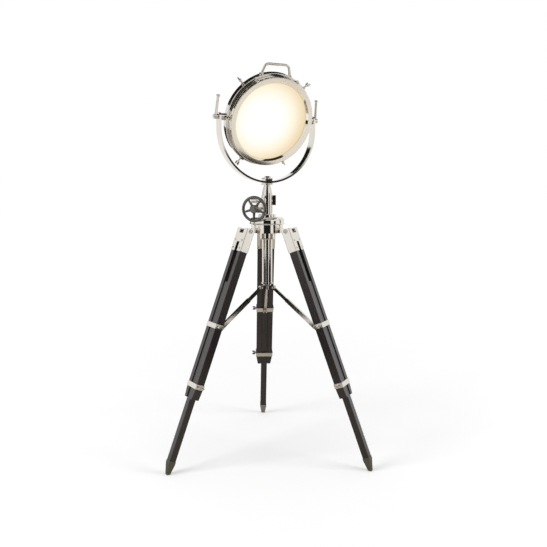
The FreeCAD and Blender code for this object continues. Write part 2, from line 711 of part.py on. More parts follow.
# ---- base -------------------------------------------------------------------------------------
def crown():
    """Cast crown that carries the three legs, hollow beneath."""
    bottom = CROWN_Z
    low = bottom - BOSS_DROP
    neck = bottom + CROWN_NECK_HEIGHT
    bead = neck + CROWN_BEAD_HEIGHT
    middle = (neck + bead) / 2
    shoulder = CROWN_TOP - CROWN_SHOULDER_DROP
    ring = CROWN_TOP + CROWN_RING_HEIGHT
    soft = CROWN_RING_ROUNDING
    turn = math.sqrt(0.5)
    bend_r = CROWN_TOP_RADIUS + (CROWN_SHOULDER_RADIUS - CROWN_TOP_RADIUS) * turn
    bend_z = shoulder + CROWN_SHOULDER_DROP * turn
    body = turned((SLEEVE_RADIUS, low), [
        (BOSS_RADIUS, low),
        (BOSS_RADIUS + BOSS_BEAD, low + BOSS_BEAD_HEIGHT / 2, BOSS_RADIUS, low + BOSS_BEAD_HEIGHT),
        (BOSS_RADIUS, bottom), (CROWN_NECK_RADIUS, bottom), (CROWN_NECK_RADIUS, neck),
        (CROWN_SHOULDER_RADIUS, neck),
        (CROWN_BEAD_RADIUS, middle, CROWN_SHOULDER_RADIUS, bead),
        (CROWN_SHOULDER_RADIUS, shoulder), (bend_r, bend_z, CROWN_TOP_RADIUS, CROWN_TOP),
        (CROWN_RING_RADIUS, CROWN_TOP), (CROWN_RING_RADIUS, ring - soft),
        (CROWN_RING_RADIUS - soft * (1 - turn), ring - soft * (1 - turn), CROWN_RING_RADIUS - soft, ring),
        (SLEEVE_RADIUS, ring)])
    inside = CROWN_NECK_RADIUS - CROWN_WALL
    roof = CROWN_TOP - CROWN_ROOF
    hollow = turned((BOSS_RADIUS, bottom - CUT), [(inside, bottom - CUT), (inside, roof), (BOSS_RADIUS, roof)])
    body = less(body, [hollow])
    extras = []
    half = LUG_WIDTH / 2
    rib_half = CROWN_RIB / 2
    for angle in LEG_ANGLES.values():
        arm = block(inside, HINGE_RADIUS, -half, half, bottom, bottom + 2 * LUG_RADIUS)
        barrel = rod(LUG_RADIUS, V(HINGE_RADIUS, -half, HINGE_Z), V(HINGE_RADIUS, half, HINGE_Z))
        rib = block(BOSS_RADIUS - CUT, inside + CUT, -rib_half, rib_half, bottom, roof + CUT)
        extras.append(spun(fused([arm, barrel, rib]), angle))
    return less(fused([body] + extras), hinge_shanks())


def hinge_shanks():
    """Shanks of the three hinge bolts."""
    shank = rod(HINGE_BOLT_RADIUS, V(HINGE_RADIUS, -CAP_HALF - SIDE_PLAY, HINGE_Z),
                V(HINGE_RADIUS, CAP_HALF + SIDE_PLAY, HINGE_Z))
    return [spun(shank, angle) for angle in LEG_ANGLES.values()]


def hinge_bolts():
    """Three hinge bolts with domed heads and nuts."""
    bolts = []
    for shank, angle in zip(hinge_shanks(), LEG_ANGLES.values()):
        heads = []
        for side in (-1, 1):
            end = V(HINGE_RADIUS, side * (CAP_HALF + SIDE_PLAY), HINGE_Z)
            heads.append(spun(domed(HINGE_BOLT_HEAD, HINGE_BOLT_DOME, end, Y * side), angle))
        bolts.append(fused([shank] + heads).Solids[0])
    return Part.makeCompound(bolts)


def column_sleeve():
    """Fixed outer tube, with the window for the pinion."""
    tube = less(rod(SLEEVE_RADIUS, V(0, 0, SLEEVE_BOTTOM), V(0, 0, SLEEVE_TOP)),
                [rod(SLEEVE_BORE, V(0, 0, SLEEVE_BOTTOM - CUT), V(0, 0, SLEEVE_TOP + CUT))])
    tall = PITCH_RADIUS + GEAR_MODULE + HOUSING_PLAY
    wide = PINION_WIDTH / 2 + HOUSING_PLAY
    window = block(RACK_LINE, SLEEVE_RADIUS + CUT, -wide, wide, WHEEL_Z - tall, WHEEL_Z + tall)
    screw = rod(LOCK_SCREW_RADIUS + RUNNING_FIT, V(0, 0, WHEEL_Z + LOCK_RISE),
                V(SLEEVE_RADIUS + CUT, 0, WHEEL_Z + LOCK_RISE))
    shaft = rod(SHAFT_RADIUS + HOUSING_PLAY, V(PINION_OFFSET, -SLEEVE_RADIUS, WHEEL_Z),
                V(PINION_OFFSET, SLEEVE_RADIUS, WHEEL_Z))
    return less(tube, [spun(tool, SHAFT_TURN) for tool in (window, screw, shaft)])


def sleeve_cap():
    """Conical collar that closes the sleeve and guides the column."""
    bore = COLUMN_RADIUS + RUNNING_FIT
    return turned((bore, SLEEVE_TOP - CAP_PLUG_LENGTH), [
        (SLEEVE_BORE, SLEEVE_TOP - CAP_PLUG_LENGTH), (SLEEVE_BORE, SLEEVE_TOP), (SLEEVE_RADIUS, SLEEVE_TOP),
        (CAP_CONE_TOP_RADIUS, SLEEVE_TOP + CAP_CONE_HEIGHT), (bore, SLEEVE_TOP + CAP_CONE_HEIGHT)])


def spider_hub():
    """Hub in the sleeve's lower end, with three forks for the struts."""
    plug = rod(SLEEVE_BORE, V(0, 0, SLEEVE_BOTTOM), V(0, 0, SLEEVE_BOTTOM + HUB_PLUG_LENGTH))
    flange = rod(HUB_FLANGE_RADIUS, V(0, 0, SLEEVE_BOTTOM - HUB_FLANGE_THICKNESS), V(0, 0, SLEEVE_BOTTOM))
    low = HUB_PIN_Z - HUB_EYE_RADIUS
    body = rod(HUB_BODY_RADIUS, V(0, 0, low), V(0, 0, SLEEVE_BOTTOM))
    parts = [plug, flange, body]
    inner = BAR_WIDTH / 2 + SIDE_PLAY
    holes = []
    for angle in LEG_ANGLES.values():
        for side in (-1, 1):
            near = min(side * inner, side * (inner + HUB_CHEEK))
            far = max(side * inner, side * (inner + HUB_CHEEK))
            plate = block(0, HUB_PIN_RADIUS, near, far, low, HUB_PIN_Z + HUB_EYE_RADIUS)
            eye = rod(HUB_EYE_RADIUS, V(HUB_PIN_RADIUS, near, HUB_PIN_Z), V(HUB_PIN_RADIUS, far, HUB_PIN_Z))
            parts.append(spun(fused([plate, eye]), angle))
        wide = inner + HUB_CHEEK + CUT
        hole = rod(PIN_RADIUS, V(HUB_PIN_RADIUS, -wide, HUB_PIN_Z), V(HUB_PIN_RADIUS, wide, HUB_PIN_Z))
        holes.append(spun(hole, angle))
    return less(fused(parts), holes)


def spider_pins():
    """Three pins on which the struts swing."""
    half = BAR_WIDTH / 2 + SIDE_PLAY + HUB_CHEEK
    pins = []
    for angle in LEG_ANGLES.values():
        middle = V(HUB_PIN_RADIUS, 0, HUB_PIN_Z)
        pin = [rod(PIN_RADIUS, middle - Y * half, middle + Y * half)]
        for side in (-1, 1):
            pin.append(domed(PIN_HEAD_RADIUS, PIN_HEAD_HEIGHT, middle + Y * (side * half), Y * side))
        pins.append(spun(fused(pin), angle).Solids[0])
    return Part.makeCompound(pins)


# ---- gear and column: built with +X towards the pinion and +Y along its shaft -----------------
def involute(base, radius):
    """Angle swept by the involute of a base circle, from its foot to a radius."""
    roll = math.sqrt(max((radius / base) ** 2 - 1, 0))
    return roll - math.atan(roll)


def pinion_outline():
    """Closed outline of the pinion, one tooth towards the rack."""
    base = PITCH_RADIUS * math.cos(math.radians(PRESSURE_ANGLE))
    tip = PITCH_RADIUS + GEAR_MODULE
    root = PITCH_RADIUS - GEAR_MODULE - ROOT_CLEARANCE
    step = 2 * math.pi / PINION_TEETH
    half_tooth = step / 4 - GEAR_BACKLASH / 2 / PITCH_RADIUS
    foot = half_tooth + involute(base, PITCH_RADIUS)
    radii = [base, (base + PITCH_RADIUS) / 2, PITCH_RADIUS, (PITCH_RADIUS + tip) / 2, tip]
    points = []
    for tooth in range(PINION_TEETH):
        middle = math.pi + tooth * step
        flank = [(root, -foot)] + [(r, -foot + involute(base, r)) for r in radii]
        for r, a in flank + [(r, -a) for r, a in reversed(flank)]:
            points.append(V(r * math.cos(middle + a), 0, r * math.sin(middle + a)))
    return points


def pinion_shaft():
    """Shaft with its pinion."""
    points = pinion_outline()
    gear = Part.Face(Part.makePolygon(points + points[:1])).extrude(V(0, PINION_WIDTH, 0))
    gear = moved(gear, 0, -PINION_WIDTH / 2, 0)
    shaft = rod(SHAFT_RADIUS, V(0, -SHAFT_TAIL, 0), V(0, WHEEL_PLANE + WHEEL_HUB_LENGTH / 2, 0))
    return place_gear(fused([gear, shaft]))


def place_gear(shape):
    """Carry a part from the pinion's centre to its place."""
    return spun(moved(shape, PINION_OFFSET, 0, WHEEL_Z), SHAFT_TURN)


def handwheel():
    """Five-spoked handwheel on the outer end of the shaft."""
    rim = RIM_THICKNESS / 2
    ring = Part.makeTorus(WHEEL_RADIUS - rim, rim, V(0, WHEEL_PLANE, 0), Y)
    low = -WHEEL_HUB_LENGTH / 2
    high = WHEEL_HUB_LENGTH / 2
    hub = turned((0, low), [
        (WHEEL_HUB_RADIUS - WHEEL_HUB_CHAMFER, low), (WHEEL_HUB_RADIUS, low + WHEEL_HUB_CHAMFER),
        (WHEEL_HUB_RADIUS, high - WHEEL_HUB_CHAMFER), (WHEEL_HUB_RADIUS - WHEEL_HUB_CHAMFER, high),
        (WHEEL_NOSE_RADIUS, high), (WHEEL_NOSE_RADIUS, high + WHEEL_NOSE_LENGTH), (0, high + WHEEL_NOSE_LENGTH)])
    hub = moved(spun(hub, -90, X), 0, WHEEL_PLANE, 0)
    parts = [ring, hub]
    for i in range(SPOKES):
        spoke = cone(SPOKE_ROOT, SPOKE_TIP, V(SPOKE_FOOT, WHEEL_PLANE, 0), V(WHEEL_RADIUS - rim, WHEEL_PLANE, 0))
        parts.append(spun(spoke, SPOKE_START + i * 360 / SPOKES, Y, V(0, WHEEL_PLANE, 0)))
    bore = rod(SHAFT_RADIUS, V(0, 0, 0), V(0, WHEEL_PLANE + high, 0))
    return place_gear(less(fused(parts), [bore]))


def rack_gaps():
    """Gaps between the rack teeth, one of them level with the pinion at rest."""
    tip = RACK_LINE + GEAR_MODULE
    root = RACK_LINE - GEAR_MODULE - ROOT_CLEARANCE
    slope = math.tan(math.radians(PRESSURE_ANGLE))
    half = RACK_PITCH / 4
    reach = COLUMN_RADIUS + CUT
    gaps = [block(tip, reach, -COLUMN_RADIUS, COLUMN_RADIUS, rack_low(), rack_high())]
    count_down = int((WHEEL_Z - rack_low()) / RACK_PITCH)
    count_up = int((rack_high() - WHEEL_Z) / RACK_PITCH)
    for i in range(-count_down, count_up + 1):
        z = WHEEL_Z + i * RACK_PITCH
        wide = half + (reach - RACK_LINE) * slope
        thin = half - (RACK_LINE - root) * slope
        corners = [V(root, -COLUMN_RADIUS, z - thin), V(reach, -COLUMN_RADIUS, z - wide),
                   V(reach, -COLUMN_RADIUS, z + wide), V(root, -COLUMN_RADIUS, z + thin)]
        gaps.append(Part.Face(Part.makePolygon(corners + corners[:1])).extrude(V(0, 2 * COLUMN_RADIUS, 0)))
    return gaps


def rack_low():
    """Lowest end of the rack, which meets the pinion at full lift."""
    return WHEEL_Z - LIFT_TRAVEL - 2 * RACK_PITCH


def rack_high():
    return WHEEL_Z + 2 * RACK_PITCH


def inner_column():
    """Sliding column with the rack cut into its side."""
    tube = less(rod(COLUMN_RADIUS, V(0, 0, COLUMN_BOTTOM), V(0, 0, COLUMN_TOP)),
                [rod(COLUMN_BORE, V(0, 0, COLUMN_BOTTOM - CUT), V(0, 0, COLUMN_TOP + CUT))])
    return spun(less(tube, rack_gaps()), SHAFT_TURN)


def column_bush():
    """Guide ring on the column's lower end."""
    high = COLUMN_BOTTOM + BUSH_HEIGHT
    return turned((COLUMN_RADIUS, COLUMN_BOTTOM), [
        (SLEEVE_BORE - RUNNING_FIT, COLUMN_BOTTOM), (SLEEVE_BORE - RUNNING_FIT, high), (COLUMN_RADIUS, high)])


def column_head():
    """Flange on the column's top, with the spigot on which the yoke swivels."""
    return turned((HEAD_BORE, COLUMN_TOP - HEAD_PLUG_LENGTH), [
        (COLUMN_BORE, COLUMN_TOP - HEAD_PLUG_LENGTH), (COLUMN_BORE, COLUMN_TOP),
        (HEAD_FLANGE_RADIUS - EDGE, COLUMN_TOP), (HEAD_FLANGE_RADIUS, COLUMN_TOP + EDGE),
        (HEAD_FLANGE_RADIUS, FLANGE_TOP - EDGE), (HEAD_FLANGE_RADIUS - EDGE, FLANGE_TOP), (SPIGOT_RADIUS, FLANGE_TOP),
        (SPIGOT_RADIUS, SWIVEL_Z + SWIVEL_THICKNESS + SWIVEL_HEX_HEIGHT),
        (HEAD_BORE, SWIVEL_Z + SWIVEL_THICKNESS + SWIVEL_HEX_HEIGHT)])


def lock_height():
    return WHEEL_Z + LOCK_RISE


def gear_housing():
    """Housing round the pinion, on a split collar that grips the sleeve."""
    low = WHEEL_Z - HOUSING_BELOW
    high = WHEEL_Z + HOUSING_ABOVE
    ring = rod(SLEEVE_RADIUS + HOUSING_WALL, V(0, 0, low), V(0, 0, high))
    wide = HOUSING_WIDTH / 2
    box = block(0, HOUSING_REACH, -wide, wide, low, WHEEL_Z + HOUSING_BLOCK_TOP)
    box = softened(box, HOUSING_WALL, Y)
    boss = rod(LOCK_BOSS_RADIUS, V(0, 0, lock_height()), V(LOCK_BOSS_REACH, 0, lock_height()))
    centre = V(PINION_OFFSET, 0, WHEEL_Z)
    half = PINION_WIDTH / 2 + HOUSING_PLAY
    pocket = rod(PITCH_RADIUS + GEAR_MODULE + HOUSING_PLAY, centre - Y * half, centre + Y * half)
    reach = SLEEVE_RADIUS + HOUSING_WALL
    bearing = rod(SHAFT_RADIUS + RUNNING_FIT, centre - Y * reach, centre + Y * reach)
    screw = rod(LOCK_SCREW_RADIUS + RUNNING_FIT, V(0, 0, lock_height()), V(LOCK_BOSS_REACH + CUT, 0, lock_height()))
    core = spun(fused([box, boss]), SHAFT_TURN)
    ear = EAR_SPLIT / 2 + EAR_THICKNESS
    ears = block(0, EAR_REACH, -ear, ear, high - EAR_BELOW, high)
    split = block(0, EAR_REACH + CUT, -EAR_SPLIT / 2, EAR_SPLIT / 2, low - CUT, high + CUT)
    bore = rod(SLEEVE_RADIUS, V(0, 0, low - CUT), V(0, 0, high + CUT))
    tools = [bore, split] + [spun(tool, SHAFT_TURN) for tool in (pocket, bearing, screw)]
    return less(fused([ring, core, ears]), tools + clamp_shanks())


def clamp_shanks():
    """Shanks of the two screws through the housing's ears."""
    ear = EAR_SPLIT / 2 + EAR_THICKNESS
    x = (SLEEVE_RADIUS + EAR_REACH) / 2
    high = WHEEL_Z + HOUSING_ABOVE
    return [rod(CLAMP_SCREW_RADIUS, V(x, -ear, high - drop), V(x, ear, high - drop)) for drop in CLAMP_SCREW_DROPS]


def clamp_screws():
    """Two knurled screws that close the housing's collar."""
    ear = EAR_SPLIT / 2 + EAR_THICKNESS
    x = (SLEEVE_RADIUS + EAR_REACH) / 2
    high = WHEEL_Z + HOUSING_ABOVE
    screws = []
    for shank, drop in zip(clamp_shanks(), CLAMP_SCREW_DROPS):
        knob = prism(CLAMP_SIDES, CLAMP_HEAD_RADIUS, 0, CLAMP_HEAD_HEIGHT)
        knob = moved(spun(knob, 90, X), x, -ear, high - drop)
        nut = moved(spun(prism(6, CLAMP_HEAD_RADIUS * 0.8, 0, CLAMP_SCREW_RADIUS), -90, X), x, ear, high - drop)
        screws.append(fused([shank, knob, nut]).Solids[0])
    return Part.makeCompound(screws)



def lock_knob():
    """Grooved knob on the screw that locks the column."""
    z = lock_height()
    tip = COLUMN_RADIUS + SIDE_PLAY
    screw = rod(LOCK_SCREW_RADIUS, V(tip, 0, z), V(KNOB_START, 0, z))
    barrel = turned((0, 0), [
        (KNOB_RADIUS - EDGE, 0), (KNOB_RADIUS, EDGE), (KNOB_RADIUS, KNOB_LENGTH - KNOB_CHAMFER),
        (KNOB_RADIUS - KNOB_CHAMFER, KNOB_LENGTH), (0, KNOB_LENGTH)])
    grooves = []
    for i in range(KNOB_GROOVES):
        a = 2 * math.pi * i / KNOB_GROOVES
        foot = V(KNOB_RADIUS * math.cos(a), KNOB_RADIUS * math.sin(a), -CUT)
        grooves.append(rod(KNOB_GROOVE_RADIUS, foot, foot + Z * (KNOB_LENGTH + 2 * CUT)))
    barrel = moved(spun(less(barrel, grooves), 90, Y), KNOB_START, 0, z)
    return spun(fused([screw, barrel]), SHAFT_TURN)


# ---- yoke: built facing -Y --------------------------------------------------------------------
def place_yoke(shape):
    """Swivel a yoke part to its rest direction."""
    return spun(shape, HEAD_TURN)


def yoke():
    """U-shaped band with the swivel block at its foot and a round eye at each arm's end."""
    wide = YOKE_WIDTH / 2
    band = face_of((-YOKE_RADIUS, PIVOT_Z), [
        (-YOKE_RADIUS, ARC_Z), (0, YOKE_BOTTOM, YOKE_RADIUS, ARC_Z), (YOKE_RADIUS, PIVOT_Z), (YOKE_INNER, PIVOT_Z),
        (YOKE_INNER, ARC_Z), (0, YOKE_BOTTOM + YOKE_THICKNESS, -YOKE_INNER, ARC_Z), (-YOKE_INNER, PIVOT_Z)])
    band = moved(band.extrude(V(0, YOKE_WIDTH, 0)), 0, -wide, 0)
    parts = [band]
    holes = [rod(SPIGOT_RADIUS + RUNNING_FIT, V(0, 0, BLOCK_Z - CUT), V(0, 0, BLOCK_TOP + CUT))]
    for side in (-1, 1):
        inner = V(side * YOKE_INNER, 0, PIVOT_Z)
        outer = V(side * YOKE_RADIUS, 0, PIVOT_Z)
        parts.append(rod(wide, inner, outer))
        holes.append(rod(STUD_RADIUS + RUNNING_FIT, inner - X * side, outer + X * side))
    half = YOKE_BLOCK / 2
    parts.append(softened(block(-half, half, -wide, wide, BLOCK_Z, BLOCK_TOP), YOKE_BLOCK_ROUNDING, Z))
    return place_yoke(less(fused(parts), holes))


def swivel_nut():
    """Flanged nut that holds the yoke down on the spigot."""
    high = SWIVEL_Z + SWIVEL_THICKNESS
    disc = turned((0, SWIVEL_Z), [
        (SWIVEL_RADIUS - EDGE, SWIVEL_Z), (SWIVEL_RADIUS, SWIVEL_Z + EDGE), (SWIVEL_RADIUS, high - EDGE),
        (SWIVEL_RADIUS - EDGE, high), (0, high)])
    nut = prism(6, SWIVEL_HEX, high, high + SWIVEL_HEX_HEIGHT)
    return less(fused([disc, nut]), [rod(SPIGOT_RADIUS, V(0, 0, SWIVEL_Z - CUT), V(0, 0, high + SWIVEL_HEX_HEIGHT + CUT))])


def clamp_lever(name):
    """Tilt clamp: a hub on the trunnion's stud with an upright lever."""
    side = -1 if name == "left" else 1
    start = YOKE_RADIUS + SIDE_PLAY
    middle = V(start + CLAMP_HUB_LENGTH / 2, 0, 0)
    hub = turned((0, 0), [
        (CLAMP_HUB_RADIUS - EDGE, 0), (CLAMP_HUB_RADIUS, EDGE), (CLAMP_HUB_RADIUS, CLAMP_HUB_LENGTH - EDGE),
        (CLAMP_HUB_RADIUS - EDGE, CLAMP_HUB_LENGTH), (CLAMP_NOSE_RADIUS, CLAMP_HUB_LENGTH),
        (CLAMP_NOSE_RADIUS, CLAMP_HUB_LENGTH + EDGE),
        cap_step(CLAMP_NOSE_RADIUS, CLAMP_HUB_LENGTH + EDGE, CLAMP_HUB_LENGTH + CLAMP_NOSE_LENGTH)])
    hub = moved(spun(hub, 90, Y), start, 0, 0)
    arm = cone(LEVER_ROOT_RADIUS, LEVER_TIP_RADIUS, middle, middle + Z * (LEVER_LENGTH - LEVER_BALL_RADIUS))
    ball = rod(LEVER_BALL_RADIUS, middle + Z * (LEVER_LENGTH - LEVER_BALL_RADIUS), middle + Z * LEVER_LENGTH)
    ball = ball.makeFillet(LEVER_BALL_EDGE, ball.Edges[:1] + ball.Edges[2:])
    stud = rod(STUD_RADIUS + RUNNING_FIT, V(start - CUT, 0, 0), V(YOKE_RADIUS + STUD_BEYOND, 0, 0))
    lever = less(fused([hub, arm, ball]), [stud])
    lever = spun(lever, LEVER_LEANS[name], X)
    if side < 0:
        lever = lever.mirror(ORIGIN, X)
    return place_yoke(moved(lever, 0, 0, PIVOT_Z))


# ---- head: built with +Z forwards, +Y up and +X along the tilt axis ---------------------------
def place_head(shape):
    """Stand a head part up, tilt it and carry it to the yoke."""
    tilted = spun(shape, 90 + HEAD_TILT, X)
    return place_yoke(moved(tilted, 0, 0, PIVOT_Z))


def drum():
    """Front shell with the window flange and the lens seat."""
    inner = DRUM_RADIUS - DRUM_WALL
    skirt = SKIRT_RADIUS - DRUM_WALL
    flange = DRUM_FRONT - FLANGE_THICKNESS
    turn = 1 - math.sqrt(0.5)
    edge = DRUM_EDGE
    body = turned((WINDOW_RADIUS, flange), [
        (inner, flange), (inner, DRUM_STEP + DRUM_WALL), (skirt, DRUM_STEP + DRUM_WALL), (skirt, DRUM_BACK),
        (SKIRT_RADIUS, DRUM_BACK), (SKIRT_RADIUS, DRUM_STEP), (DRUM_RADIUS - edge, DRUM_STEP),
        (DRUM_RADIUS - edge * turn, DRUM_STEP + edge * turn, DRUM_RADIUS, DRUM_STEP + edge),
        (DRUM_RADIUS, DRUM_FRONT - edge),
        (DRUM_RADIUS - edge * turn, DRUM_FRONT - edge * turn, DRUM_RADIUS - edge, DRUM_FRONT),
        (LENS_RADIUS, DRUM_FRONT), (LENS_RADIUS, SEAT_FRONT), (WINDOW_RADIUS, SEAT_FRONT)])
    return place_head(body)


def rear_cover():
    """Domed back with a ring of vent holes and the hole for the cable gland."""
    skirt = SKIRT_RADIUS - DRUM_WALL
    wall = COVER_WALL
    middle_r = SKIRT_RADIUS - COVER_BEND
    middle_d = COVER_BEND_DEPTH
    body = turned((skirt - wall, COVER_START + COVER_LAP), [
        (skirt, COVER_START + COVER_LAP), (skirt, COVER_START), (SKIRT_RADIUS, COVER_START),
        (middle_r, COVER_START - middle_d, COVER_FLAT_RADIUS, COVER_END), (0, COVER_END), (0, COVER_END + wall),
        (COVER_FLAT_RADIUS - wall, COVER_END + wall),
        (middle_r - wall, COVER_START - middle_d + wall, skirt - wall, COVER_START)])
    tools = [gland_shank()]
    for i in range(VENTS):
        a = 2 * math.pi * (i + 0.5) / VENTS
        foot = V(VENT_CIRCLE * math.cos(a), VENT_CIRCLE * math.sin(a), COVER_END - CUT)
        tools.append(rod(VENT_RADIUS, foot, foot + Z * (wall + 2)))
    return place_head(less(body, tools))


def cover_height(radius):
    """Outer surface of the rear cover at a radius: distance d on its arc."""
    middle_r = SKIRT_RADIUS - COVER_BEND
    middle_d = COVER_BEND_DEPTH
    arc = Part.Circle(V(SKIRT_RADIUS, 0, COVER_START), V(middle_r, 0, COVER_START - middle_d),
                      V(COVER_FLAT_RADIUS, 0, COVER_END))
    return arc.Center.z - math.sqrt(arc.Radius ** 2 - (radius - arc.Center.x) ** 2)


def gland_shank():
    """Threaded end of the gland, through the rear cover below its middle."""
    d = cover_height(GLAND_DROP)
    return rod(GLAND_SHANK_RADIUS, V(0, -GLAND_DROP, d - GLAND_SHANK_LENGTH / 2), V(0, -GLAND_DROP, d + GLAND_SHANK_LENGTH))


def cable_gland():
    """Cable gland through which the lead enters the head."""
    d = cover_height(GLAND_DROP) - GLAND_SHANK_LENGTH / 2
    hexagon = prism(6, GLAND_HEX, d - GLAND_HEX_HEIGHT, d)
    dome = cone(GLAND_BORE + GLAND_LIP, GLAND_DOME_RADIUS, V(0, 0, d - GLAND_HEX_HEIGHT - GLAND_DOME_HEIGHT),
                V(0, 0, d - GLAND_HEX_HEIGHT))
    body = fused([moved(hexagon, 0, -GLAND_DROP, 0), moved(dome, 0, -GLAND_DROP, 0), gland_shank()])
    low = V(0, -GLAND_DROP, d - GLAND_HEX_HEIGHT - GLAND_DOME_HEIGHT - CUT)
    return place_head(less(body, [rod(GLAND_BORE, low, V(0, -GLAND_DROP, d + 2 * GLAND_SHANK_LENGTH))]))


def bezel():
    """Front ring that holds the lens: a bent section, open at the back."""
    outer = BEZEL_RADIUS
    wall = BEZEL_WALL
    face = outer - BEZEL_FACE
    lip = WINDOW_RADIUS - BEZEL_OVERHANG
    turn = 1 - math.sqrt(0.5)
    edge = BEZEL_EDGE
    body = turned((outer, BEZEL_BACK), [
        (outer, BEZEL_FRONT - edge),
        (outer - edge * turn, BEZEL_FRONT - edge * turn, outer - edge, BEZEL_FRONT),
        (face, BEZEL_FRONT), (lip, LENS_FRONT + BEZEL_LIP_HEIGHT), (lip, LENS_FRONT), (lip + BEZEL_LIP, LENS_FRONT),
        (face + BEZEL_INNER_BEND, BEZEL_FRONT - wall), (outer - wall, BEZEL_FRONT - wall), (outer - wall, BEZEL_BACK)])
    return place_head(body)


def lens():
    """Frosted glass, a little domed to the front."""
    inner_bulge = LENS_BACK + LENS_BULGE
    outer_bulge = LENS_FRONT + LENS_BULGE
    rim = WINDOW_RADIUS - LENS_FLAT
    body = turned((0, inner_bulge), [
        cap_step_back(rim, LENS_BACK, inner_bulge), (LENS_RADIUS, LENS_BACK),
        (LENS_RADIUS, LENS_FRONT), (rim, LENS_FRONT), cap_step(rim, LENS_FRONT, outer_bulge)])
    return place_head(body)


def lens_gasket():
    """Ring between the lens and its seat."""
    return place_head(turned((WINDOW_RADIUS, SEAT_FRONT), [
        (LENS_RADIUS, SEAT_FRONT), (LENS_RADIUS, LENS_BACK), (WINDOW_RADIUS, LENS_BACK)]))


def reflector():
    """Spun dish behind the lens, hung from the window flange."""
    rim = DRUM_FRONT - FLANGE_THICKNESS
    wall = REFLECTOR_WALL
    middle_r = REFLECTOR_MOUTH - REFLECTOR_BEND
    middle_d = REFLECTOR_BEND_DEPTH
    throat = rim - REFLECTOR_DEPTH
    return place_head(turned((REFLECTOR_MOUTH - wall, rim), [
        (REFLECTOR_RIM, rim), (REFLECTOR_RIM, rim - wall), (REFLECTOR_MOUTH, rim - wall),
        (middle_r, rim - middle_d - wall, REFLECTOR_THROAT, throat), (REFLECTOR_THROAT, throat + wall),
        (middle_r - wall, rim - middle_d, REFLECTOR_MOUTH - wall, rim)]))


def lamp_holder():
    """Lamp holder on the middle of the rear cover."""
    plate = HOLDER_BACK + HOLDER_PLATE_THICKNESS
    stem = plate + HOLDER_STEM_LENGTH
    front = stem + HOLDER_LENGTH
    return place_head(turned((0, HOLDER_BACK), [
        (HOLDER_PLATE_RADIUS, HOLDER_BACK), (HOLDER_PLATE_RADIUS, plate), (HOLDER_STEM_RADIUS, plate),
        (HOLDER_STEM_RADIUS, stem), (HOLDER_RADIUS, stem), (HOLDER_RADIUS, front), (BULB_BASE_RADIUS, front),
        (BULB_BASE_RADIUS, front - HOLDER_BORE_DEPTH), (0, front - HOLDER_BORE_DEPTH)]))


def bulb():
    """Screw-base globe bulb."""
    seat = HOLDER_BACK + HOLDER_PLATE_THICKNESS + HOLDER_STEM_LENGTH + HOLDER_LENGTH
    start = seat - HOLDER_BORE_DEPTH
    tip = start + BULB_LENGTH
    centre = tip - BULB_GLOBE_RADIUS
    lean = math.radians(BULB_JOIN_ANGLE)
    join_r = BULB_GLOBE_RADIUS * math.sin(lean)
    join_d = centre - BULB_GLOBE_RADIUS * math.cos(lean)
    return place_head(turned((0, start), [
        (BULB_BASE_RADIUS, start), (BULB_BASE_RADIUS, seat), (BULB_NECK, seat + BULB_STEP),
        (join_r, join_d), (BULB_GLOBE_RADIUS, centre, 0, tip)]))


def trunnions():
    """Tilt pivots: a boss on each side of the drum and the stud that passes through the yoke."""
    outer = YOKE_INNER - SIDE_PLAY
    parts = []
    for side in (-1, 1):
        boss = rod(TRUNNION_RADIUS, V(side * (SKIRT_RADIUS - TRUNNION_SUNK), 0, 0), V(side * outer, 0, 0))
        stud = rod(STUD_RADIUS, V(side * outer, 0, 0), V(side * (YOKE_RADIUS + STUD_BEYOND - SIDE_PLAY), 0, 0))
        parts.append(fused([less(boss, [drum_envelope()]), stud]).Solids[0])
    return place_head(Part.makeCompound(parts))


def drum_envelope():
    """Space filled by the drum, out to its rounded edges."""
    turn = 1 - math.sqrt(0.5)
    edge = DRUM_EDGE
    return turned((0, DRUM_BACK), [
        (SKIRT_RADIUS, DRUM_BACK), (SKIRT_RADIUS, DRUM_STEP), (DRUM_RADIUS - edge, DRUM_STEP),
        (DRUM_RADIUS - edge * turn, DRUM_STEP + edge * turn, DRUM_RADIUS, DRUM_STEP + edge),
        (DRUM_RADIUS, DRUM_FRONT - edge),
        (DRUM_RADIUS - edge * turn, DRUM_FRONT - edge * turn, DRUM_RADIUS - edge, DRUM_FRONT), (0, DRUM_FRONT)])


def bezel_clip():
    """Clip at the right-hand side: a foot on the drum's edge and a plate along the bezel's wall."""
    half = CLIP_WIDTH / 2
    top = BEZEL_RADIUS + CLIP_THICKNESS
    plate = block(BEZEL_RADIUS, top, -half, half, DRUM_FRONT, DRUM_FRONT + CLIP_HEIGHT)
    foot = block(BEZEL_RADIUS, DRUM_RADIUS + CLIP_OVERHANG, -half, half, DRUM_FRONT, DRUM_FRONT + CLIP_THICKNESS)
    d = DRUM_FRONT + CLIP_THICKNESS + (CLIP_HEIGHT - CLIP_THICKNESS) / 2
    screw = rod(CLIP_SCREW_RADIUS, V(top, 0, d), V(top + CLIP_SCREW_HEIGHT, 0, d))
    bezel_wall = rod(BEZEL_RADIUS, V(0, 0, DRUM_FRONT), V(0, 0, BEZEL_FRONT))
    base = block(BEZEL_RADIUS - CLIP_SUNK, BEZEL_RADIUS, -half, half, DRUM_FRONT, DRUM_FRONT + CLIP_HEIGHT)
    return less(fused([plate, foot, screw, base]), [bezel_wall])


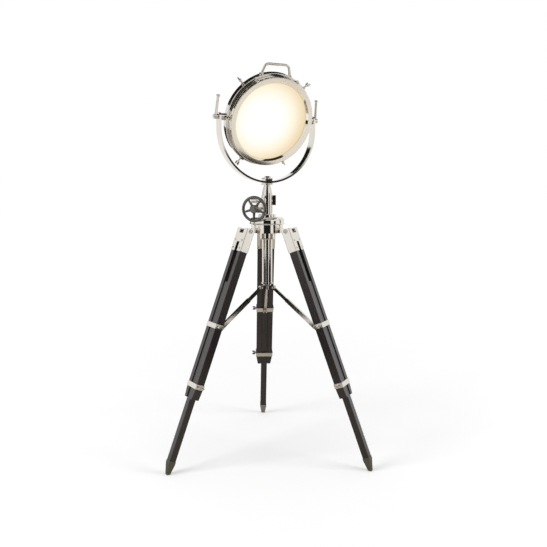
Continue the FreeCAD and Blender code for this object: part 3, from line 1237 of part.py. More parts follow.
def thumb_screw():
    """Radial stud with a wing nut, at the right-hand side of the drum."""
    d = (DRUM_STEP + DRUM_FRONT) / 2
    boss = rod(THUMB_BOSS_RADIUS, V(DRUM_RADIUS - THUMB_BOSS_HEIGHT, 0, d), V(DRUM_RADIUS + THUMB_BOSS_HEIGHT, 0, d))
    stud = rod(THUMB_STUD_RADIUS, V(DRUM_RADIUS, 0, d), V(DRUM_RADIUS + THUMB_BOSS_HEIGHT + THUMB_RISE, 0, d))
    nut = moved(spun(wing_nut(), 90, Y), DRUM_RADIUS + THUMB_BOSS_HEIGHT + THUMB_RISE, 0, d)
    return less(fused([boss, stud, nut]), [drum_envelope()])


def bezel_fasteners():
    """Six clips round the bezel and four radial thumb screws."""
    parts = []
    for i in range(CLIP_COUNT):
        parts += spun(bezel_clip(), i * 360 / CLIP_COUNT).Solids
    for angle in THUMB_ANGLES:
        parts += spun(thumb_screw(), angle).Solids
    return place_head(Part.makeCompound(parts))


def carry_handle():
    """Round-bar handle on the top of the drum, on two pads."""
    foot_y = math.sqrt(DRUM_RADIUS ** 2 - HANDLE_FOOT_SPREAD ** 2)
    points = [V(-HANDLE_FOOT_SPREAD, foot_y, HANDLE_D), V(-HANDLE_TOP_SPREAD, HANDLE_TOP, HANDLE_D),
              V(HANDLE_TOP_SPREAD, HANDLE_TOP, HANDLE_D), V(HANDLE_FOOT_SPREAD, foot_y, HANDLE_D)]
    lean = (points[1] - points[0]).normalize()
    turn = math.acos(lean.dot(X))
    cut = HANDLE_CORNER * math.tan(turn / 2)
    bend = HANDLE_CORNER * (1 / math.cos(turn / 2) - 1)
    edges = []
    here = points[0] - lean * HANDLE_PAD_HEIGHT
    for corner, arrive, leave in ((points[1], lean, X), (points[2], X, V(lean.x, -lean.y, 0))):
        before = corner - arrive * cut
        after = corner + leave * cut
        inwards = (leave - arrive).normalize()
        edges.append(Part.makeLine(here, before))
        edges.append(Part.Arc(before, corner + inwards * bend, after).toShape())
        here = after
    edges.append(Part.makeLine(here, points[3] + V(lean.x, -lean.y, 0) * HANDLE_PAD_HEIGHT))
    start = edges[0].Vertexes[0].Point
    ring = Part.Wire([Part.makeCircle(HANDLE_RADIUS, start, lean)])
    bar = Part.Wire(edges).makePipeShell([ring], True, True)
    parts = [bar]
    for side in (-1, 1):
        foot = V(side * HANDLE_FOOT_SPREAD, foot_y, HANDLE_D)
        out = V(foot.x, foot.y, 0).normalize()
        parts.append(rod(HANDLE_PAD_RADIUS, foot - out * HANDLE_PAD_HEIGHT, foot + out * HANDLE_PAD_HEIGHT))
    return place_head(less(fused(parts), [drum_envelope()]))


# ---- the whole lamp ---------------------------------------------------------------------------
def build():
    """Every node by name, round the column axis."""
    nodes = {}
    nodes["crown"] = crown()
    nodes["column_sleeve"] = column_sleeve()
    nodes["sleeve_cap"] = sleeve_cap()
    nodes["spider_hub"] = spider_hub()
    nodes["hinge_bolts"] = hinge_bolts()
    nodes["spider_pins"] = spider_pins()
    nodes["gear_housing"] = gear_housing()
    nodes["clamp_screws"] = clamp_screws()
    nodes["lock_knob"] = lock_knob()
    nodes["pinion_shaft"] = pinion_shaft()
    nodes["handwheel"] = handwheel()
    nodes["inner_column"] = inner_column()
    nodes["column_bush"] = column_bush()
    nodes["column_head"] = column_head()
    nodes["yoke"] = yoke()
    nodes["swivel_nut"] = swivel_nut()
    nodes["lever_left"] = clamp_lever("left")
    nodes["lever_right"] = clamp_lever("right")
    nodes["drum"] = drum()
    nodes["rear_cover"] = rear_cover()
    nodes["bezel"] = bezel()
    nodes["lens"] = lens()
    nodes["lens_gasket"] = lens_gasket()
    nodes["reflector"] = reflector()
    nodes["lamp_holder"] = lamp_holder()
    nodes["bulb"] = bulb()
    nodes["trunnions"] = trunnions()
    nodes["bezel_fasteners"] = bezel_fasteners()
    nodes["carry_handle"] = carry_handle()
    nodes["cable_gland"] = cable_gland()
    leg_parts = {"cap": leg_cap(), "rails": leg_rails(), "bands": leg_bands(), "screws": leg_screws(),
                 "slider": leg_slider(), "foot": leg_foot(),
                 "upper_wing_screw": wing_screw(UPPER_BAND), "lower_wing_screw": wing_screw(LOWER_BAND)}
    strut_parts = {"strut_bar": strut_bar(), "strut_channel": strut_channel()}
    for name in LEG_ANGLES:
        for part, shape in leg_parts.items():
            nodes["leg_" + name + "_" + part] = stand_leg(shape, name)
        for part, shape in strut_parts.items():
            nodes["leg_" + name + "_" + part] = place_strut(shape, name)
    return nodes


def footprint_shift(nodes):
    """Move from the column axis to the middle of the whole lamp's box, at floor level."""
    box = Part.makeCompound(list(nodes.values())).BoundBox
    return V(-(box.XMin + box.XMax) / 2, -(box.YMin + box.YMax) / 2, 0)


lamp = build()
shift = footprint_shift(lamp)
os.makedirs("parts", exist_ok=True)
for node, shape in lamp.items():
    shape.translate(shift)
    shape.exportStep("parts/" + node + ".step")
print("nodes", len(lamp), "shift", tuple(round(v, 3) for v in shift))
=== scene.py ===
import json
import math
import bpy
from mathutils import Matrix, Vector


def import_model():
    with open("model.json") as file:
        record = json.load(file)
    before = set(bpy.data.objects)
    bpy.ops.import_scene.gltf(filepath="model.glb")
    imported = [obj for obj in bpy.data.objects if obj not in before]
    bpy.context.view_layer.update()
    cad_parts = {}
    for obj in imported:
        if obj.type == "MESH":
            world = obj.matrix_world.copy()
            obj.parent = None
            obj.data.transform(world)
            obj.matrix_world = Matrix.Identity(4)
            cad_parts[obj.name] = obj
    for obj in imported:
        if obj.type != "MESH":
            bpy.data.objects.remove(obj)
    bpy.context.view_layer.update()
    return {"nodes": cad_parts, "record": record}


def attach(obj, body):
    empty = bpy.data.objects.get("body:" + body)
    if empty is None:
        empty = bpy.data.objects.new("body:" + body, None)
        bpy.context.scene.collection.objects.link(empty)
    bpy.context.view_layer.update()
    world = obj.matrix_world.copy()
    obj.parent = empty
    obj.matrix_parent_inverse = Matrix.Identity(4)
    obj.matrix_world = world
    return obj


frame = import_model()

# ---- where things are, in metres, as the construction has them --------------------------------
AXIS_Y = -0.116381                      # the column stands here
HEAD_TURN = math.radians(23.9)
HEAD_TILT = math.radians(22.1)
PIVOT = Vector((0, AXIS_Y, 1.43329))
LEG_SPREAD = math.radians(21.2)
LEG_ANGLES = {"left": math.radians(210), "right": math.radians(330), "back": math.radians(90)}
HINGE_RADIUS = 0.1055
HINGE_Z = 1.0434 * math.cos(LEG_SPREAD)
PAINTED_BRIGHT_SPOT = (-0.035, 0.005, 0)        # centre of the painted bright spot on the lens, in the head's own frame
PAINTED_GLOW_REACH = 0.2                        # from the painted bright spot to where the painted glow is faintest

# in millimetres, in the own frame of the leg, the column or the head
CAP_SCREW_ROWS = (45, 78)
CAP_SCREW_SIDE = 26.0
CAP_SCREW_FACE = 20.82
CAP_FACE = 19.2
BAND_ROWS = (411.5, 667.2)
BAND_BOLT_FACE = 40.3
HINGE_BOLT_FACE = 41.3
CLAMP_SCREW_ROWS = (1107.8, 1086.8)
CLAMP_SCREW_X = 28.75
CLAMP_SCREW_Y = -12
KNURL_RADIUS = 6.1
KNURL_COUNT = 26
CLIP_SCREW = (189.0, 0, 38.0)
CLIP_COUNT = 6

# the photograph's view
CAMERA_PLACE = (-0.12506, AXIS_Y - 2.79721, 1.1688)
CAMERA_TIP = math.radians(90 - 8.03)
CAMERA_TURN = math.radians(-2.56)
CAMERA_LENS = 43.49
CAMERA_SENSOR = 36.0
CAMERA_SHIFT = (0.0115, 0.0056)

# how the floor's own glow makes way for the light that the lamps throw on it
FLOOR_SIZE = (40, 40)
FLOOR_GREY = 0.80
FLOOR_GLOW = 0.60
FLOOR_EASED = 0.38
LIT_CENTRE = (0, -0.86, 0)
LIT_REACH = 47.6
LIGHT_AIM = (0, 0, 0.9)

HEAD_PLACE = (Matrix.Translation(PIVOT) @ Matrix.Rotation(HEAD_TURN, 4, "Z")
              @ Matrix.Rotation(math.pi / 2 + HEAD_TILT, 4, "X"))


def leg_place(name):
    """From a leg's own frame, hinge at the origin and +Z up the leg, to the lamp."""
    return (Matrix.Translation((0, AXIS_Y, 0)) @ Matrix.Rotation(LEG_ANGLES[name], 4, "Z")
            @ Matrix.Translation((HINGE_RADIUS, 0, HINGE_Z)) @ Matrix.Rotation(-LEG_SPREAD, 4, "Y"))


# ---- shader maths -----------------------------------------------------------------------------
class Value:
    """A number that varies over a surface, with ordinary arithmetic."""

    def __init__(self, finish, socket):
        self.finish = finish
        self.socket = socket

    def sum(self, operation, *others):
        return self.finish.number("ShaderNodeMath", {"operation": operation}, [self, *others])

    def __add__(self, other):
        return self.sum("ADD", other)

    def __radd__(self, other):
        return self.sum("ADD", other)

    def __mul__(self, other):
        return self.sum("MULTIPLY", other)

    def __rmul__(self, other):
        return self.sum("MULTIPLY", other)

    def __sub__(self, other):
        return self.sum("SUBTRACT", other)

    def __rsub__(self, other):
        return self.finish.number("ShaderNodeMath", {"operation": "SUBTRACT"}, [other, self])

    def __truediv__(self, other):
        return self.sum("DIVIDE", other)

    def __pow__(self, other):
        return self.sum("POWER", other)

    def clip(self):
        return self.finish.number("ShaderNodeClamp", {}, [self, 0.0, 1.0])


class Finish:
    """A material and the one way its nodes are made."""

    def __init__(self, name, **constants):
        self.material = bpy.data.materials.new(name)
        self.material.use_nodes = True
        self.tree = self.material.node_tree
        self.tree.nodes.clear()
        self.surface = self.node("ShaderNodeBsdfPrincipled", {}, constants)
        output = self.node("ShaderNodeOutputMaterial", {}, {})
        self.tree.links.new(self.surface.outputs[0], output.inputs["Surface"])
        self.output = output

    def node(self, kind, settings, inputs):
        """Settings first, then the values or links of its sockets, by name or in order."""
        made = self.tree.nodes.new(kind)
        for key, value in settings.items():
            if key == "stops":
                self.set_stops(made, value)
            else:
                setattr(made, key, value)
        pairs = inputs.items() if isinstance(inputs, dict) else enumerate(inputs)
        for key, value in pairs:
            self.feed(made.inputs[key], value)
        return made

    def set_stops(self, made, stops):
        ramp = made.color_ramp
        while len(ramp.elements) > 1:
            ramp.elements.remove(ramp.elements[-1])
        ramp.elements[0].position, ramp.elements[0].color = stops[0][0], (*stops[0][1], 1)
        for place, colour in stops[1:]:
            ramp.elements.new(place).color = (*colour, 1)

    def feed(self, socket, value):
        if isinstance(value, Value):
            self.tree.links.new(value.socket, socket)
        elif isinstance(value, bpy.types.NodeSocket):
            self.tree.links.new(value, socket)
        elif socket.type == "RGBA" and len(value) == 3:
            socket.default_value = (*value, 1)
        else:
            socket.default_value = value

    def number(self, kind, settings, inputs, output=0):
        return Value(self, self.node(kind, settings, inputs).outputs[output])

    def place(self, turn=(0, 0, 0), centre=(0, 0, 0), scale=(1, 1, 1)):
        """Object coordinates, brought to a centre, turned, then scaled."""
        where = self.node("ShaderNodeTexCoord", {}, {}).outputs["Object"]
        back = self.node("ShaderNodeMapping", {"vector_type": "TEXTURE"},
                         {"Vector": where, "Location": centre, "Rotation": turn})
        return self.node("ShaderNodeMapping", {}, {"Vector": back.outputs[0], "Scale": scale}).outputs[0]

    def noise(self, where, scale, detail=4.0, roughness=0.5, distortion=0.0):
        return self.number("ShaderNodeTexNoise", {}, {"Vector": where, "Scale": scale, "Detail": detail,
                                                      "Roughness": roughness, "Distortion": distortion})

    def ramp(self, value, stops):
        made = self.node("ShaderNodeValToRGB", {"stops": stops}, [value])
        return made.outputs["Color"]

    def blend(self, factor, first, second, mode="MIX"):
        made = self.node("ShaderNodeMix", {"data_type": "RGBA", "blend_type": mode}, {})
        self.feed(made.inputs[0], factor)
        self.feed(made.inputs[6], first)
        self.feed(made.inputs[7], second)
        return made.outputs[2]

    def parts(self, where):
        """The X and Y of a place, as numbers."""
        split = self.node("ShaderNodeSeparateXYZ", {}, [where])
        return Value(self, split.outputs[0]), Value(self, split.outputs[1])

    def bump(self, height, strength, distance):
        inputs = {"Height": height, "Strength": strength, "Distance": distance}
        return self.node("ShaderNodeBump", {}, inputs).outputs[0]

    def set(self, **links):
        for name, value in links.items():
            self.feed(self.surface.inputs[name.replace("_", " ")], value)


def polished(name, colour, roughness, haze=0.03, grain=0.0):
    """Plated, polished metal: faint haze, wiping marks and a few darker specks."""
    made = Finish(name, Metallic=1.0)
    where = made.place()
    cloud = made.noise(where, 9.0, 3.0)
    wipe = made.noise(made.place(scale=(1, 1, 0.15)), 160.0, 2.0)
    fleck = made.noise(where, 420.0, 2.0)
    shade = made.ramp(cloud * 0.7 + fleck * 0.3, [(0.3, [c * 0.93 for c in colour]), (0.7, colour)])
    made.set(Base_Color=shade, Roughness=(cloud * haze + wipe * haze * 0.6 + (roughness - haze * 0.4)).clip())
    made.set(Normal=made.bump(wipe * 0.5 + fleck * (0.2 + grain), 0.006 + grain, 0.0004))
    return made.material


def dark_wood(name, leg):
    """Dark stained hardwood with its grain along the leg."""
    made = Finish(name, IOR=1.5)
    turn = tuple(leg_place(leg).to_euler())
    centre = tuple(leg_place(leg).translation)
    along = made.place(turn, centre, (1, 1, 0.045))
    fine = made.place(turn, centre, (1, 1, 0.02))
    board = made.noise(along, 26.0, 4.0, 0.6, 0.6)
    pores = made.noise(fine, 900.0, 3.0, 0.6)
    lines = made.noise(along, 210.0, 3.0, 0.55, 0.3)
    tone = (board * 0.55 + lines * 0.45).clip()
    colour = made.ramp(tone, [
        (0.30, (0.007, 0.0042, 0.0040)), (0.5, (0.016, 0.0095, 0.0085)), (0.72, (0.034, 0.021, 0.017))])
    dark = made.ramp(pores, [(0.36, (0.35, 0.35, 0.35)), (0.5, (1, 1, 1))])
    made.set(Base_Color=made.blend(1.0, colour, dark, "MULTIPLY"))
    made.set(Roughness=(tone * 0.14 + pores * 0.1 + 0.24).clip(), Coat_Weight=0.40)
    made.surface.inputs["Coat Roughness"].default_value = 0.20
    made.surface.inputs["Specular IOR Level"].default_value = 0.50
    made.set(Normal=made.bump(pores * 0.7 + lines * 0.5, 0.18, 0.0005))
    return made.material


def painted_glow_lens():
    """Frosted glass with painted light: its emission paints a glow as if lit from behind, brightest at a
    painted bright spot left of the middle, warm towards the rim.
    """
    made = Finish("frosted_glass", Roughness=0.55, IOR=1.45)
    turn = tuple(HEAD_PLACE.to_euler())
    centre = tuple(HEAD_PLACE @ Vector(PAINTED_BRIGHT_SPOT))
    where = made.place(turn, centre)
    x, y = made.parts(where)
    reach = (x * x + y * y * 1.05) ** 0.5 / PAINTED_GLOW_REACH
    cloud = made.noise(where, 7.0, 3.0) - 0.5
    # painted glow: white at the bright spot, fading to cream and orange towards the rim, fed to the emission
    glow = made.ramp((reach + cloud * 0.05).clip(), [
        (0.0, (1.0, 1.0, 1.0)), (0.42, (1.0, 0.99, 0.95)), (0.66, (0.97, 0.90, 0.72)),
        (0.86, (0.87, 0.72, 0.50)), (1.0, (0.80, 0.64, 0.36))])
    made.set(Emission_Color=glow, Base_Color=(0.03, 0.028, 0.022))
    made.surface.inputs["Emission Strength"].default_value = 1.0
    frost = made.noise(where, 900.0, 2.0)
    made.set(Normal=made.bump(frost, 0.1, 0.0003))
    return made.material


def plain(name, colour, roughness, bump=0.1, scale=400.0, metallic=0.0):
    """Moulded rubber or plastic, or a satin metal, with a fine texture."""
    made = Finish(name, Metallic=metallic)
    where = made.place()
    grain = made.noise(where, scale, 3.0)
    cloud = made.noise(where, 14.0, 2.0)
    low = [c * 0.85 for c in colour]
    high = [min(c * 1.1, 1) for c in colour]
    made.set(Base_Color=made.ramp(cloud, [(0.3, low), (0.7, high)]))
    made.set(Roughness=(grain * 0.15 + roughness).clip(), Normal=made.bump(grain, bump, 0.0004))
    return made.material


def bulb_glass():
    """Pearl glass, faintly uneven."""
    made = Finish("bulb_glass", Roughness=0.4, IOR=1.45)
    cloud = made.noise(made.place(), 20.0, 2.0)
    made.set(Base_Color=made.ramp(cloud, [(0.3, (0.85, 0.82, 0.76)), (0.7, (0.92, 0.90, 0.85))]))
    return made.material


# ---- finishes on the construction's own pieces ------------------------------------------------
FINISHES = {
    "polished_metal": polished("polished_metal", (0.76, 0.725, 0.665), 0.07),
    "dark_nickel": polished("dark_nickel", (0.15, 0.145, 0.135), 0.15, 0.05),
    "foot_metal": polished("foot_metal", (0.16, 0.165, 0.13), 0.30, 0.08, 0.03),
    "back_foot_metal": polished("back_foot_metal", (0.42, 0.40, 0.37), 0.26, 0.08, 0.03),
    "frosted_glass": painted_glow_lens(),
    "gasket": plain("gasket", (0.02, 0.02, 0.02), 0.6),
    "reflector": polished("reflector", (0.86, 0.86, 0.85), 0.18),
    "holder": plain("holder", (0.03, 0.03, 0.03), 0.5),
    "bulb_glass": bulb_glass(),
    "gland": plain("gland", (0.025, 0.025, 0.025), 0.45),
    # painted shade: a near-black finish for the screw slots, standing for the shade inside their recesses
    "shadow": plain("shadow", (0.012, 0.011, 0.010), 0.7),
}
WOODS = {leg: dark_wood("dark_wood_" + leg, leg) for leg in LEG_ANGLES}


def dress(node, slot):
    """Give a construction piece its finish: each leg its own grain, the back foot a lighter plating."""
    obj = frame["nodes"][node]
    if slot == "dark_wood":
        material = WOODS[node.split("_")[1]]
    elif node == "leg_back_foot":
        material = FINISHES["back_foot_metal"]
    else:
        material = FINISHES[slot]
    obj.data.materials.clear()
    obj.data.materials.append(material)


for entry in frame["record"]["subparts"]:
    dress(entry["node"], entry["material_slot"])


# ---- geometry nodes ---------------------------------------------------------------------------
class Grower:
    """A geometry node tree that sets a small form on every point of a mesh."""

    def __init__(self, name, sizes):
        self.tree = bpy.data.node_groups.new(name, "GeometryNodeTree")
        face = self.tree.interface
        face.new_socket("Points", in_out="INPUT", socket_type="NodeSocketGeometry")
        face.new_socket("Pieces", in_out="OUTPUT", socket_type="NodeSocketGeometry")
        self.names = {}
        for size, value in sizes.items():
            kind = "NodeSocketInt" if isinstance(value, int) else "NodeSocketFloat"
            made = face.new_socket(size, in_out="INPUT", socket_type=kind)
            made.default_value = value
            self.names[size] = made.identifier
        self.given = self.tree.nodes.new("NodeGroupInput")

    def node(self, kind, settings, inputs):
        made = self.tree.nodes.new(kind)
        for key, value in settings.items():
            setattr(made, key, value)
        for key, value in inputs.items():
            if isinstance(value, bpy.types.NodeSocket):
                self.tree.links.new(value, made.inputs[key])
            else:
                made.inputs[key].default_value = value
        return made

    def size(self, name):
        return self.given.outputs[name]

    def close(self, form, material, twist=0.0):
        """Instances of the form, turned to face each point's own way, made real."""
        way = self.node("GeometryNodeInputNamedAttribute", {"data_type": "FLOAT_VECTOR"}, {"Name": "facing"})
        turn = self.node("FunctionNodeAlignRotationToVector", {"axis": "Z"}, {"Vector": way.outputs[0]})
        rotation = turn.outputs[0]
        if twist:
            chance = self.node("FunctionNodeRandomValue", {"data_type": "FLOAT"},
                               {"Min": 0.0, "Max": twist, "Seed": 7})
            about = self.node("FunctionNodeAxisAngleToRotation", {},
                              {"Axis": (0, 0, 1), "Angle": chance.outputs[1]})
            both = self.node("FunctionNodeRotateRotation", {"rotation_space": "LOCAL"},
                             {"Rotation": rotation, "Rotate By": about.outputs[0]})
            rotation = both.outputs[0]
        spread = self.node("GeometryNodeInstanceOnPoints", {},
                           {"Points": self.given.outputs[0], "Instance": form, "Rotation": rotation})
        real = self.node("GeometryNodeRealizeInstances", {}, {"Geometry": spread.outputs[0]})
        coat = self.node("GeometryNodeSetMaterial", {}, {"Geometry": real.outputs[0], "Material": material})
        end = self.tree.nodes.new("NodeGroupOutput")
        self.tree.links.new(coat.outputs[0], end.inputs[0])
        return self


def ring_tree(material):
    """Flat washers."""
    grower = Grower("washers", {"Radius": 0.008, "Width": 0.002, "Thickness": 0.001})
    circle = grower.node("GeometryNodeCurvePrimitiveCircle", {},
                         {"Resolution": 36, "Radius": grower.size("Radius")})
    section = grower.node("GeometryNodeCurvePrimitiveQuadrilateral", {},
                          {"Width": grower.size("Width"), "Height": grower.size("Thickness")})
    form = grower.node("GeometryNodeCurveToMesh", {},
                       {"Curve": circle.outputs[0], "Profile Curve": section.outputs[0]})
    return grower.close(form.outputs[0], material)


def slot_tree(material):
    """Screwdriver slots, each screw turned as it stopped."""
    grower = Grower("slots", {"Length": 0.005, "Width": 0.0009, "Depth": 0.0006})
    size = grower.node("ShaderNodeCombineXYZ", {},
                       {"X": grower.size("Length"), "Y": grower.size("Width"), "Z": grower.size("Depth")})
    form = grower.node("GeometryNodeMeshCube", {}, {"Size": size.outputs[0]})
    return grower.close(form.outputs[0], material, math.pi)


def ridge_tree(material):
    """Knurling: slim ridges that lie along a knob."""
    grower = Grower("ridges", {"Thickness": 0.0005, "Length": 0.008, "Sides": 6})
    form = grower.node("GeometryNodeMeshCylinder", {"fill_type": "NGON"},
                       {"Vertices": grower.size("Sides"), "Radius": grower.size("Thickness"),
                        "Depth": grower.size("Length")})
    return grower.close(form.outputs[0], material)


def grown(name, tree, places, body, slot, **sizes):
    """A plain mesh of the tree's forms on points with a direction each."""
    mesh = bpy.data.meshes.new(name + "_points")
    mesh.from_pydata([p for p, way in places], [], [])
    facing = mesh.attributes.new("facing", "FLOAT_VECTOR", "POINT")
    for i, (p, way) in enumerate(places):
        facing.data[i].vector = way
    seed = bpy.data.objects.new(name + "_points", mesh)
    bpy.context.collection.objects.link(seed)
    modifier = seed.modifiers.new("grow", "NODES")
    modifier.node_group = tree.tree
    for size, value in sizes.items():
        modifier[tree.names[size]] = value
    grid = bpy.context.evaluated_depsgraph_get()
    result = bpy.data.meshes.new_from_object(seed.evaluated_get(grid))
    while result.materials and result.materials[0] is None:
        result.materials.pop(index=0)
    seed.modifiers.remove(modifier)
    bpy.data.objects.remove(seed)
    obj = bpy.data.objects.new(name, result)
    bpy.context.collection.objects.link(obj)
    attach(obj, body)
    return obj


COLUMN_PLACE = Matrix.Translation((0, AXIS_Y, 0))


def at(place, point, way):
    """A point and a direction of a sub-part's own frame, in millimetres, carried to the lamp."""
    return (place @ (Vector(point) / 1000), (place.to_3x3() @ Vector(way)).normalized())


def round_ring(place, centre, axis, side, radius, count):
    """Points round an axis, each facing along it."""
    axis, side = Vector(axis), Vector(side)
    other = axis.cross(side)
    spots = []
    for i in range(count):
        a = 2 * math.pi * i / count
        spots.append(at(place, Vector(centre) + radius * (side * math.cos(a) + other * math.sin(a)), axis))
    return spots


def fittings():
    """Washers, screw slots and knurling on the construction's screws."""
    metal = FINISHES["polished_metal"]
    washers = ring_tree(metal)
    # the screw slots are near-black bars of painted shade, not cut recesses
    slots = slot_tree(FINISHES["shadow"])
    ridges = ridge_tree(metal)
    plated = "polished_metal"
    cap_screws = [(side * CAP_SCREW_SIDE, -row) for row in CAP_SCREW_ROWS for side in (-1, 1)]
    for leg in LEG_ANGLES:
        place = leg_place(leg)
        body = "leg_" + leg
        screws = [at(place, (CAP_SCREW_FACE, y, z), (1, 0, 0)) for y, z in cap_screws]
        grown("cap_screw_slots_" + leg, slots, screws, body, plated, Length=0.0046)
        rims = [at(place, (CAP_FACE, y, z), (1, 0, 0)) for y, z in cap_screws]
        grown("cap_screw_rims_" + leg, washers, rims, body, plated,
              Radius=0.0042, Width=0.0014, Thickness=0.0007)
        bolts = [at(place, (0, -BAND_BOLT_FACE, -row), (0, -1, 0)) for row in BAND_ROWS]
        grown("band_washers_" + leg, washers, bolts, body, plated,
              Radius=0.0078, Width=0.0024, Thickness=0.0009)
        eyes = [at(place, (0, side * HINGE_BOLT_FACE, 0), (0, side, 0)) for side in (-1, 1)]
        grown("hinge_washers_" + leg, washers, eyes, "base", plated,
              Radius=0.0080, Width=0.0026, Thickness=0.0012)
    knurls = []
    for z in CLAMP_SCREW_ROWS:
        centre = (CLAMP_SCREW_X, CLAMP_SCREW_Y, z)
        knurls += round_ring(COLUMN_PLACE, centre, (0, -1, 0), (1, 0, 0), KNURL_RADIUS, KNURL_COUNT)
    grown("clamp_knurls", ridges, knurls, "base", plated, Length=0.0066, Thickness=0.00042)
    clips = []
    for i in range(CLIP_COUNT):
        turned = HEAD_PLACE @ Matrix.Rotation(math.radians(360 / CLIP_COUNT * i), 4, "Z")
        clips.append(at(turned, CLIP_SCREW, (1, 0, 0)))
    grown("clip_screw_slots", slots, clips, "head", plated, Length=0.0052, Width=0.001)


fittings()


# ---- stage ------------------------------------------------------------------------------------
def staged_plane(name, size, place, colour, glow=0.0, eased=0.0, camera=True):
    """A flat stage piece. Its glow is only for the camera and for mirrors, eased where the lamps light it."""
    mesh = bpy.data.meshes.new(name)
    x, y = size[0] / 2, size[1] / 2
    corners = ((-x, -y, 0), (x, -y, 0), (x, y, 0), (-x, y, 0))
    mesh.from_pydata([place @ Vector(c) for c in corners], [], [(0, 1, 2, 3)])
    obj = bpy.data.objects.new(name, mesh)
    bpy.context.collection.objects.link(obj)
    made = Finish(name, Roughness=0.9)
    made.set(Base_Color=colour)
    made.surface.inputs["Specular IOR Level"].default_value = 0.0
    if glow:
        path = made.node("ShaderNodeLightPath", {}, {})
        seen = (Value(made, path.outputs["Is Camera Ray"]) + Value(made, path.outputs["Is Glossy Ray"])
                + Value(made, path.outputs["Is Transmission Ray"])).clip()
        x, y = made.parts(made.place(centre=LIT_CENTRE))
        lit = ((x * x + y * y) / LIT_REACH + 1.0) ** -4.0
        made.set(Emission_Color=made.blend(seen * (glow - lit * eased), (0, 0, 0), (1, 1, 1)))
        made.surface.inputs["Emission Strength"].default_value = 1.0
    mesh.materials.append(made.material)
    obj.visible_camera = camera
    return obj


def dark_panel(name, size, place, level, glow=0.0):
    """A card that only shows in the metal's reflections."""
    panel = staged_plane(name, size, place, (level, level * 0.93, level * 0.82), glow, 0.0, camera=False)
    panel.visible_diffuse = False
    panel.visible_shadow = False
    panel.visible_transmission = False


def facing(place, towards):
    """Frame at a place whose Z looks towards a point."""
    turn = (Vector(towards) - Vector(place)).to_track_quat("Z", "Y")
    return Matrix.Translation(place) @ turn.to_matrix().to_4x4()


def area_light(name, place, size, power):
    """A soft lamp aimed at the middle of the object, not seen in its metal."""
    data = bpy.data.lights.new(name, "AREA")
    data.shape = "RECTANGLE"
    data.size, data.size_y = size
    data.energy = power
    obj = bpy.data.objects.new(name, data)
    obj.matrix_world = facing(place, LIGHT_AIM) @ Matrix.Rotation(math.pi, 4, "Y")
    obj.visible_glossy = False
    bpy.context.collection.objects.link(obj)


def world():
    """Even light all round, and pure white for the camera, mirrors and glass."""
    made = bpy.data.worlds.new("studio")
    made.use_nodes = True
    bpy.context.scene.world = made
    tree = made.node_tree
    tree.nodes.clear()
    path = tree.nodes.new("ShaderNodeLightPath")
    plain_light = tree.nodes.new("ShaderNodeBackground")
    plain_light.inputs["Color"].default_value = (1, 1, 1, 1)
    plain_light.inputs["Strength"].default_value = 0.55
    white = tree.nodes.new("ShaderNodeBackground")
    white.inputs["Color"].default_value = (1, 1, 1, 1)
    white.inputs["Strength"].default_value = 1.0
    seen = path.outputs["Is Camera Ray"]
    for ray in ("Is Glossy Ray", "Is Transmission Ray"):
        either = tree.nodes.new("ShaderNodeMath")
        either.operation = "MAXIMUM"
        tree.links.new(seen, either.inputs[0])
        tree.links.new(path.outputs[ray], either.inputs[1])
        seen = either.outputs[0]
    mix = tree.nodes.new("ShaderNodeMixShader")
    tree.links.new(seen, mix.inputs[0])
    tree.links.new(plain_light.outputs[0], mix.inputs[1])
    tree.links.new(white.outputs[0], mix.inputs[2])
    out = tree.nodes.new("ShaderNodeOutputWorld")
    tree.links.new(mix.outputs[0], out.inputs["Surface"])


def camera():
    """The photograph's view."""
    data = bpy.data.cameras.new("view")
    data.sensor_fit = "HORIZONTAL"
    data.sensor_width = CAMERA_SENSOR
    data.lens = CAMERA_LENS
    data.shift_x, data.shift_y = CAMERA_SHIFT
    data.clip_end = 60
    view = bpy.data.objects.new("view", data)
    view.location = CAMERA_PLACE
    view.rotation_euler = (CAMERA_TIP, 0, CAMERA_TURN)
    bpy.context.collection.objects.link(view)
    bpy.context.scene.camera = view
    bpy.context.scene.view_settings.view_transform = "Standard"


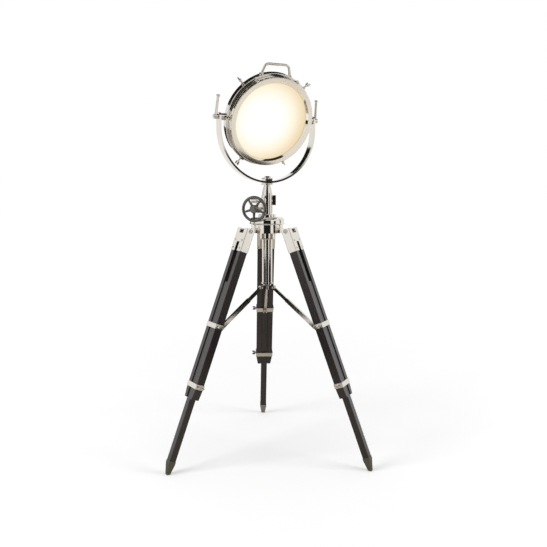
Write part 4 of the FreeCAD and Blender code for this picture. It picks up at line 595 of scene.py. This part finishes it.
# name, width and height, place, the point it faces, how pale it is
STANDING_CARDS = (
    ("card_front", (2.7, 2.6), (-0.15, -3.1, 1.4), (0, 0, 1.2), 0.02),
    ("card_back_left", (1.5, 1.9), (-1.32, 2.4, 1.75), (0, 0, 1.3), 0.015),
    ("card_upper_back", (4.4, 1.9), (-1.0, 2.3, 3.5), (0, 0, 1.4), 0.015),
    ("card_top", (4.4, 3.0), (0, -0.4, 4.0), (0, 0, 1.2), 0.03),
    ("card_left", (0.5, 3.0), (-3.2, 0.3, 1.5), (0, 0, 1.2), 0.03),
    ("card_right", (0.5, 3.0), (3.2, 0.1, 1.5), (0, 0, 1.2), 0.04),
    ("card_low_left", (3.0, 0.52), (-2.5, -1.6, 0.26), (0, 0, 0.26), 0.02),
    ("card_near_left", (1.9, 0.30), (-1.05, -0.8, 0.155), (0, -0.1, 0.155), 0.02),
    ("card_low_right", (3.0, 0.52), (2.5, -1.6, 0.26), (0, 0, 0.26), 0.02),
    ("card_near_right", (1.9, 0.30), (1.05, -0.8, 0.155), (0, -0.1, 0.155), 0.02),
    ("card_front_right", (0.8, 0.9), (2.23, -2.1, 1.0), (0, -0.1, 1.0), 0.03),
)
# name, width and depth, place, how pale it is, its glow
LYING_CARDS = (
    ("card_under", (2.2, 2.3), (-0.1, -0.4, 0.003), 0.55, 0.0),
    ("card_low", (1.5, 1.7), (1.75, -1.2, 0.004), 0.70, 0.28),
)


def stage():
    """Floor, surroundings, the cards that draw dark and pale bands in the metal, and two soft lamps."""
    below = Matrix.Translation((0, 0, -0.0005))
    staged_plane("floor", FLOOR_SIZE, below, (FLOOR_GREY,) * 3, FLOOR_GLOW, FLOOR_EASED)
    world()
    for name, size, place, towards, level in STANDING_CARDS:
        dark_panel(name, size, facing(place, towards), level)
    for name, size, place, level, glow in LYING_CARDS:
        dark_panel(name, size, Matrix.Translation(place), level, glow)
    area_light("key", (-2.6, -1.4, 2.8), (1.6, 1.6), 60)
    area_light("fill", (2.8, -1.2, 2.2), (1.6, 1.6), 40)


stage()
camera()
